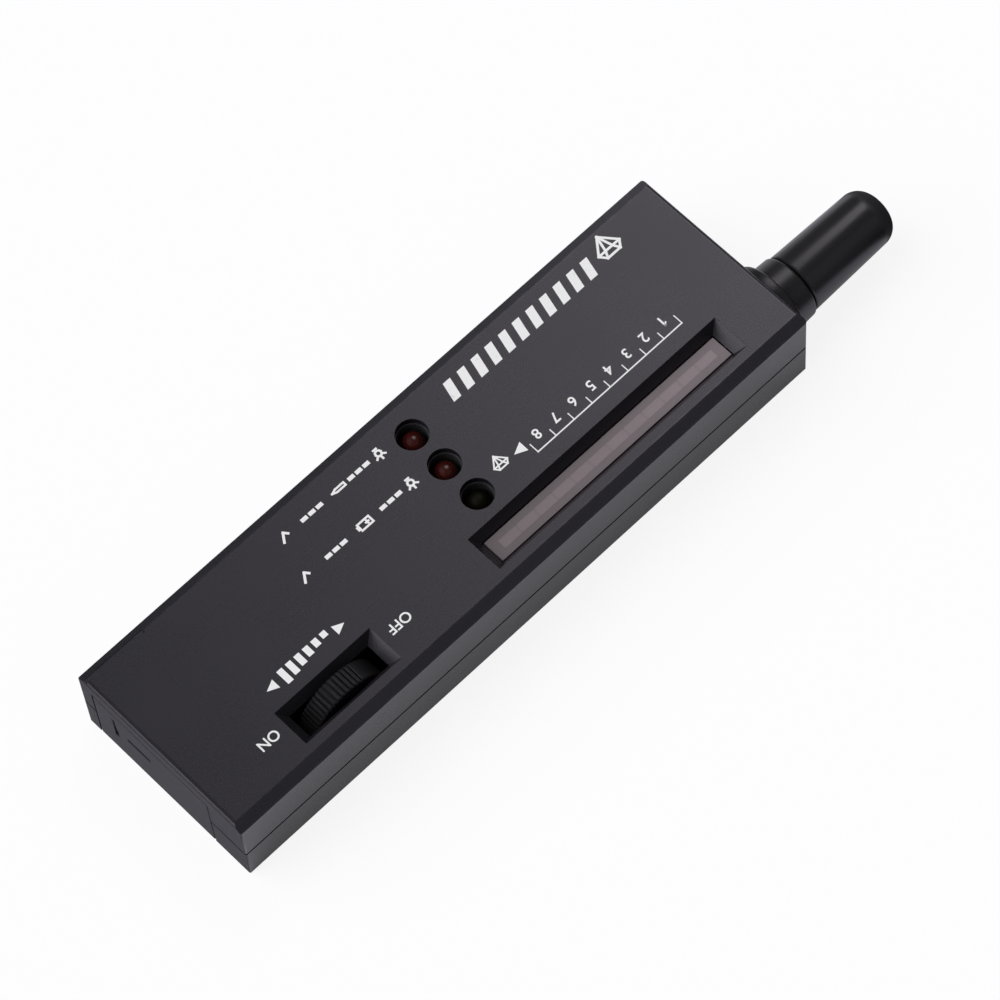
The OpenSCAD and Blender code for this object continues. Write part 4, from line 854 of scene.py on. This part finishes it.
def cushion(low, high, corner):
    """A crowned pad in a box: rings of a rounded rectangle shrink by cos(v)^0.35 as they rise by sin(v)^0.8.

    The foot is flat, and the sides pull in by 1.5 % between the corners.
    """
    half = (high - low)[:2] / 2
    ring = rounded(np.array([(-1, -1), (1, -1), (1, 1), (-1, 1)]) * half, [corner] * 4, 8)
    pull = 1 - 0.015 * (1 - np.min(np.abs(ring) / half, axis=1))
    v = np.linspace(0, np.pi / 2, 14)
    shrink = np.concatenate([[0, 0.5, 0.95, 0.99], np.cos(v) ** 0.35])[:, None, None]
    rise = np.concatenate([[0, 0, 0, 0.06], 0.12 + 0.88 * np.sin(v) ** 0.8])[:, None, None]
    flat = (low + high)[:2] / 2 + shrink * (ring * pull[:, None])[None]
    return np.concatenate([flat, low[2] + (high - low)[2] * rise + 0 * flat[..., :1]], -1)


pad = joined("battery_pad_foam", [cushion(*box_of("battery_pad"), 0.8)])
fitted(pad, "foam", dressed("pad_foam", foam), "battery_pad", body="door")


# Upper shell: the other half of the housing in the same plastic, with flat chamfers along its sides,
# bevelled windows for the display and the wheel, and three lamp holes.
eased("upper_shell", 0.16, "housing", shell_finish)


# Print: one pass of white screen ink on the top face, read from the far long side. It has a scale with
# numerals, arrows, ON and OFF; plain signs stand where the rest of the lettering would be.
ink_rise, ink_root, ink_step = 0.006, 0.01, 0.0004
ink = []


def prisms(outlines):
    """Flat plates of ink: outlines[k, corner] in x, y become closed prisms, each a hair over the last."""
    outlines = np.array(outlines, float)
    count, sides = outlines.shape[:2]
    points = np.empty((count, 2, sides, 3))
    points[..., :2] = outlines[:, None]
    points[:, 0, :, 2] = body_height - ink_root
    points[:, 1, :, 2] = (body_height + ink_rise + ink_step * np.arange(count))[:, None]
    index = np.arange(count * 2 * sides).reshape(count, 2, sides)
    low, high = index[:, 0], index[:, 1]
    walls = np.stack([low, np.roll(low, -1, 1), np.roll(high, -1, 1), high], -1).reshape(-1, 4)
    return points.reshape(-1, 3), high.tolist() + low[:, ::-1].tolist() + walls.tolist()


def strokes(starts, finishes, width):
    """Straight strokes of that width: rectangles round each line from a start to its finish."""
    starts, finishes = np.array(starts, float), np.array(finishes, float)
    way = finishes - starts
    way = way / np.linalg.norm(way, axis=1)[:, None] * width / 2
    side = way[:, ::-1] * [-1, 1]
    starts, finishes = starts - way, finishes + way
    return np.stack([starts - side, finishes - side, finishes + side, starts + side], 1)


def bars(count, step, width, heights, slant=0.0):
    """Bars side by side on one line: four corners each, the upper two moved along by slant."""
    left = np.arange(count) * step
    foot, head = 0 * left, 0 * left + heights
    corners = [(left, foot), (left + width, foot), (left + width + slant, head), (left + slant, head)]
    return np.stack([np.stack(corner, 1) for corner in corners], 1)


def stamp(outlines, x, y):
    """Inks outlines drawn to the right and up at x, y, turned half round to read from the far side."""
    ink.append(prisms(np.array([x, y]) - outlines))


def chain(points, closed_line=True):
    """The starts and finishes of the strokes that join points in turn."""
    points = np.array(points, float)
    if closed_line:
        return points, np.roll(points, -1, axis=0)
    return points[:-1], points[1:]


def lettered(words, height, x, y, weight=0.012):
    """Plain lettering from the built-in font as ink: scaled to height, centred at x, y, turned half round."""
    text = bpy.data.curves.new("ink", "FONT")
    text.body = words
    text.extrude = 0.1
    text.offset = weight
    text.resolution_u = 5
    mesh = bpy.data.meshes.new_from_object(bpy.data.objects.new("ink", text))
    flat = np.empty(len(mesh.vertices) * 3)
    mesh.vertices.foreach_get("co", flat)
    flat = flat.reshape(-1, 3)
    low, high = flat.min(0), flat.max(0)
    scale = height / (high[1] - low[1])
    points = np.empty_like(flat)
    points[:, :2] = np.array([x, y]) - (flat[:, :2] - (low[:2] + high[:2]) / 2) * scale
    points[:, 2] = np.where(flat[:, 2] > 0, body_height + ink_rise, body_height - ink_root)
    return points, [list(face.vertices) for face in mesh.polygons]


def gem(width):
    """A cut stone from the side in strokes: table, crown, girdle and pavilion with its main facets."""
    half, table, facet, crown, depth = width * np.array([0.5, 0.3, 0.165, 0.26, 0.62])
    starts, finishes = chain([(-table, crown), (table, crown), (half, 0), (0, -depth), (-half, 0)])
    inner_starts = [(-half, 0), (-table, crown), (table, crown), (-facet, 0), (facet, 0)]
    inner_finishes = [(half, 0), (-facet, 0), (facet, 0), (0, -depth), (0, -depth)]
    return np.concatenate([starts, inner_starts]), np.concatenate([finishes, inner_finishes])


def lamp_sign():
    """A lamp with its rays: a round head, a foot and three rays."""
    starts, finishes = chain(arc(0, 0, 0.62, 0, 324, 10))
    rays = arc(0, 0, 1, 40, 140, 3)
    foot = [(-0.35, -1.05), (0.35, -1.05)]
    return np.concatenate([starts, 0.95 * rays, foot[:1]]), np.concatenate([finishes, 1.35 * rays, foot[1:]])


def battery_sign():
    """A battery lying down: a box with a pole at its end and a plus in it."""
    starts, finishes = chain([(-1.5, -0.75), (1.3, -0.75), (1.3, 0.75), (-1.5, 0.75)])
    pole_starts, pole_finishes = [(1.65, -0.3)], [(1.65, 0.3)]
    plus_starts, plus_finishes = [(-0.9, 0), (-0.6, -0.3)], [(-0.3, 0), (-0.6, 0.3)]
    return (np.concatenate([starts, pole_starts, plus_starts]),
            np.concatenate([finishes, pole_finishes, plus_finishes]))


scale_x, tick_y, base_y, tick_count = (55.2, 17.8), -5.5, -5.72, 9
long_tick, short_tick, tick_width, base_width = 1.9, 1.45, 0.22, 0.27
tick_ends = straight((scale_x[0], tick_y), (scale_x[1], tick_y), tick_count)
tick_lengths = np.full((tick_count, 1), short_tick)
tick_lengths[[0, -1]] = long_tick
ink.append(prisms(strokes(tick_ends + tick_lengths * [0, 1], tick_ends, tick_width)))
ink.append(prisms(strokes([(scale_x[0], base_y)], [(scale_x[1], base_y)], base_width)))

numeral_x, numeral_y, numeral_height, numeral_weight = np.linspace(52.7, 20.2, 8), -2.9, 2.2, 0.014
for number, x in enumerate(numeral_x, 1):
    ink.append(lettered(str(number), numeral_height, x, numeral_y, numeral_weight))
flag_of_one = strokes([(0, 0.95)], [(-0.5, 0.5)], 0.3)
stamp(flag_of_one, numeral_x[0], numeral_y)

word_height, word_y = 2.15, -12.45
ink.append(lettered("ON", word_height, -56.3, word_y))
ink.append(lettered("OFF", word_height, -23.9, word_y))
arrows = ((14.3, -3.0, 2.5, 1.2), (-50.1, -5.25, 2.3, 1.1), (-30.9, -5.25, -2.3, -1.1))
ink.append(prisms([[(x, y), (x + reach, y + half), (x + reach, y - half)] for x, y, reach, half in arrows]))
volume_wedge = bars(count=6, step=2.1, width=1.3, heights=np.linspace(1.3, 3.3, 6))
stamp(volume_wedge, -34.5, -3.65)
title_bars = bars(count=11, step=3.55, width=1.85, heights=4.2, slant=1.1)
stamp(title_bars, 52.6, 16.9)
stamp(strokes(*gem(width=5.4), 0.5), 56.9, 15.2)
stamp(strokes(*gem(width=3.3), 0.32), 11.3, -2.55)

probe_sign = chain([(-1.6, 0.35), (0.5, 0.35), (1.5, 0), (0.5, -0.35), (-1.6, -0.35)])
check_sign = chain([(-0.8, 0), (-0.2, -0.75), (0.95, 0.9)], False)
upper_row, lower_row, sign_width, check_width = 15.05, 6.45, 0.42, 0.5
for sign, width, x, y in (
    (lamp_sign(), sign_width, -3.0, upper_row), (probe_sign, sign_width, -13.2, upper_row),
    (check_sign, check_width, -26.6, upper_row), (lamp_sign(), sign_width, -3.0, lower_row),
    (battery_sign(), sign_width, -14.6, lower_row), (check_sign, check_width, -29.4, lower_row),
):
    stamp(strokes(*sign, width), x, y)
dash_length, dash_width = 0.65, 0.85
dash_starts = straight((0.2, 0), (4.0, 0), 3)
dashes = strokes(dash_starts, dash_starts + [dash_length, 0], dash_width)
for x, y in ((-5.6, upper_row), (-17.4, upper_row), (-5.6, lower_row), (-19.4, lower_row)):
    stamp(dashes, x, y)

ink_points = np.concatenate([points for points, _ in ink]) * mm
ink_faces, first = [], 0
for points, faces in ink:
    ink_faces += [[corner + first for corner in face] for face in faces]
    first += len(points)
ink_mesh = bpy.data.meshes.new("white_print")
ink_mesh.from_pydata(ink_points.tolist(), [], ink_faces)


def screen_ink(where):
    """White ink: thin enough for the black to show through in a fine mesh, with ragged thin places."""
    mesh_mark = noise(where, 0.16, 1)
    thin = between(noise(where, 1.1, 3), 0.6, 0.85)
    return {
        "Base Color": tint(thin * 0.5 + mesh_mark * 0.2, (0.83, 0.83, 0.84), (0.45, 0.45, 0.46)),
        "Roughness": 0.55 + (mesh_mark - 0.5) * 0.2,
        "Normal": bumped(mesh_mark, 0.15, 0.01),
    }


fitted(closed("white_print", ink_mesh), "housing", dressed("screen_ink", screen_ink))


# Probe: a turned black collar clamped in the end wall by a nut; a nose carries a copper tip that presses
# back on a spring. A ceramic bead on the tip's stem heats it, and two leads run back to the board.
probe_y, probe_z = -11.05, 10.0
probe_centre = (0, probe_y, probe_z)
point_x, point_radius = 92.35, 0.75
collar_line = rounded(
    [(63, 3.03), (63, 5), (72, 5), (72, 8.8), (74.1, 8.8), (74.1, 7.05),
     (78.8, 6.85), (78.8, 4.7), (84.8, 4.7), (84.8, 3.03)],
    [0.1, 0.3, 0.1, 0.15, 0.6, 0.45, 0.55, 0.15, 0.35, 0.2], 7,
)
collar_black = (0.0095, 0.0095, 0.0100)
collar_finish = moulded("collar_plastic", collar_black, 0.34, 0.3)
collar = turned("probe_collar_turned", collar_line, probe_centre, "x", hollow=True)
fitted(collar, "collar_plastic", collar_finish, "probe_collar")
eased("collar_nut", 0.20, "zinc_steel", zinc)

nose_line = rounded(
    [(63, 2.0), (63, 3.0), (84.8, 3.0), (84.8, 4.2), (86.3, 4.2), (91.3, 1.6), (91.3, 0.8), (87.3, 0.8),
     (87.3, 2.0)],
    [0.1, 0.2, 0.05, 0.15, 0.8, 0.3, 0.1, 0.05, 0.05], 7,
)
nose_piece = turned("probe_nose_turned", nose_line, probe_centre, "x", 72, hollow=True)
nose_finish = moulded("nose_plastic", (0.012, 0.012, 0.0125), 0.45, 0.2)
fitted(nose_piece, "black_plastic", nose_finish, "probe_nose")


def copper(where):
    """Turned copper: bright rings from the tool, brown tarnish in patches and a polished point."""
    ring = where.math("SINE", along(where, "X") * (2 * math.pi / 0.14))
    patch = noise(where, 1.3, 3)
    point = between(along(where, "X") - point_x, -0.55, 0.45)
    return {
        "Base Color": tint(between(patch, 0.45, 0.7) * (1 - point), (0.80, 0.38, 0.22), (0.30, 0.13, 0.08)),
        "Metallic": 1.0,
        "Roughness": 0.30 + (patch - 0.5) * 0.2 - point * 0.1,
        "Normal": bumped(ring, 0.12, 0.02),
    }


tip_back = rounded(
    [(82, 0), (82, 0.6), (86, 0.6), (86, 1.75), (87.2, 1.75), (87.2, point_radius), (92, point_radius)],
    [0, 0.1, 0.05, 0.15, 0.15, 0.05, 0],
)
tip_line = np.concatenate([tip_back, arc(point_x, 0, point_radius, 90, 0, 10)])
tip_piece = turned("copper_tip", tip_line, probe_centre, "x", 48)
fitted(tip_piece, "copper", dressed("tip_copper", copper), "probe_tip", body="tip")


def fired(where):
    """Fired ceramic: ivory with grey specks and a dull skin."""
    speck = between(noise(where, 0.12, 2), 0.6, 0.75)
    cloud = noise(where, 1.5, 2)
    ivory = tint(cloud, (0.62, 0.57, 0.47), (0.72, 0.68, 0.58))
    return {
        "Base Color": tint(speck * 0.6, ivory, (0.3, 0.28, 0.25)),
        "Roughness": 0.6 + (cloud - 0.5) * 0.2,
        "Normal": bumped(speck, 0.15, 0.02),
    }


ceramic = dressed("fired_ceramic", fired)
bead_line = rounded([(80, 0), (80, 0.9), (82, 0.9), (82, 0)], [0, 0.4, 0.4, 0])
bead = turned("heater_bead_fired", bead_line, probe_centre, "x", 40)
fitted(bead, "ceramic", ceramic, "heater_bead", body="tip")
eased("spring_plug", 0.10, "ceramic", ceramic)

spring_start, spring_end, spring_radius, spring_wire, spring_curls = 77.1, 85.9, 1.5, 0.2, 7
share = np.linspace(0, 1, spring_curls * 32 + 1)
coil_x = spring_start + 2 * spring_wire + (spring_end - spring_start - 4 * spring_wire) * share
coil_turn = 2 * np.pi * spring_curls * share
coil_y, coil_z = probe_y + spring_radius * np.cos(coil_turn), probe_z + spring_radius * np.sin(coil_turn)
coil = np.stack([coil_x, coil_y, coil_z], 1)
ends = np.array([[spring_start, *coil[0, 1:]], [spring_end, *coil[-1, 1:]]])
spring_way = np.concatenate([ends[:1], coil, ends[1:]])
spring = joined("probe_spring_wound", [tube(spring_way, spring_wire, (0, 1, 1.7), 10)])
spring_steel = metal("spring_steel", (0.55, 0.55, 0.57), 0.25, size=0.2)
fitted(spring, "bare_steel", spring_steel, "probe_spring")
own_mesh(spring)

probe_lead_radius, joint_x, joint_y = 0.4, 59.8, -4.545
probe_ways = [
    np.concatenate([
        straight((74.5, probe_y + side, probe_z), (64, probe_y + side, probe_z), 6),
        curve((63, probe_y + side, probe_z), (-1, 0, 0), (joint_x + side, joint_y, board_top), down, 3.5),
    ])
    for side in (-1.2, 1.2)
]
probe_leads = joined("probe_wires", [tube(way, probe_lead_radius, (1, 1, 1), 12) for way in probe_ways])
fitted(probe_leads, "lead_sleeve", sleeved("white_sleeve", (0.62, 0.61, 0.58)), "probe_leads")


# Cap: a blind sleeve moulded in satin black, tapered from its mouth to a full round shoulder; it pushes
# on the collar's spigot and guards the tip.
cap_mouth, cap_bore, cap_tip, cap_flat, cap_rounding = 79.15, 4.75, 102.35, 2.25, 3.8
scuff_start, scuff_full = 98, 100
cap_shoulder = arc(cap_tip - cap_rounding, cap_flat, cap_rounding, 0, 90, 18)
cap_rest = rounded(
    [(96.6, 6.095), (cap_mouth, 6.5), (cap_mouth, cap_bore), (99.15, cap_bore), (100.35, 3.55), (100.35, 0)],
    [0, 0.45, 0.3, 0.4, 0.4, 0], 8,
)
cap_line = np.concatenate([[(cap_tip, 0), (cap_tip, 1.1)], cap_shoulder, cap_rest])
cap = turned("probe_cap_turned", cap_line, probe_centre, "x", 128)


def cap_end(where):
    """1 on the cap's closed end, which handling has scuffed dull."""
    return between(along(where, "X"), scuff_start, scuff_full)


cap_finish = moulded("cap_plastic", (0.0100, 0.0100, 0.0105), 0.30, 0.3, coarse=cap_end)
fitted(cap, "collar_plastic", cap_finish, "probe_cap", body="cap")
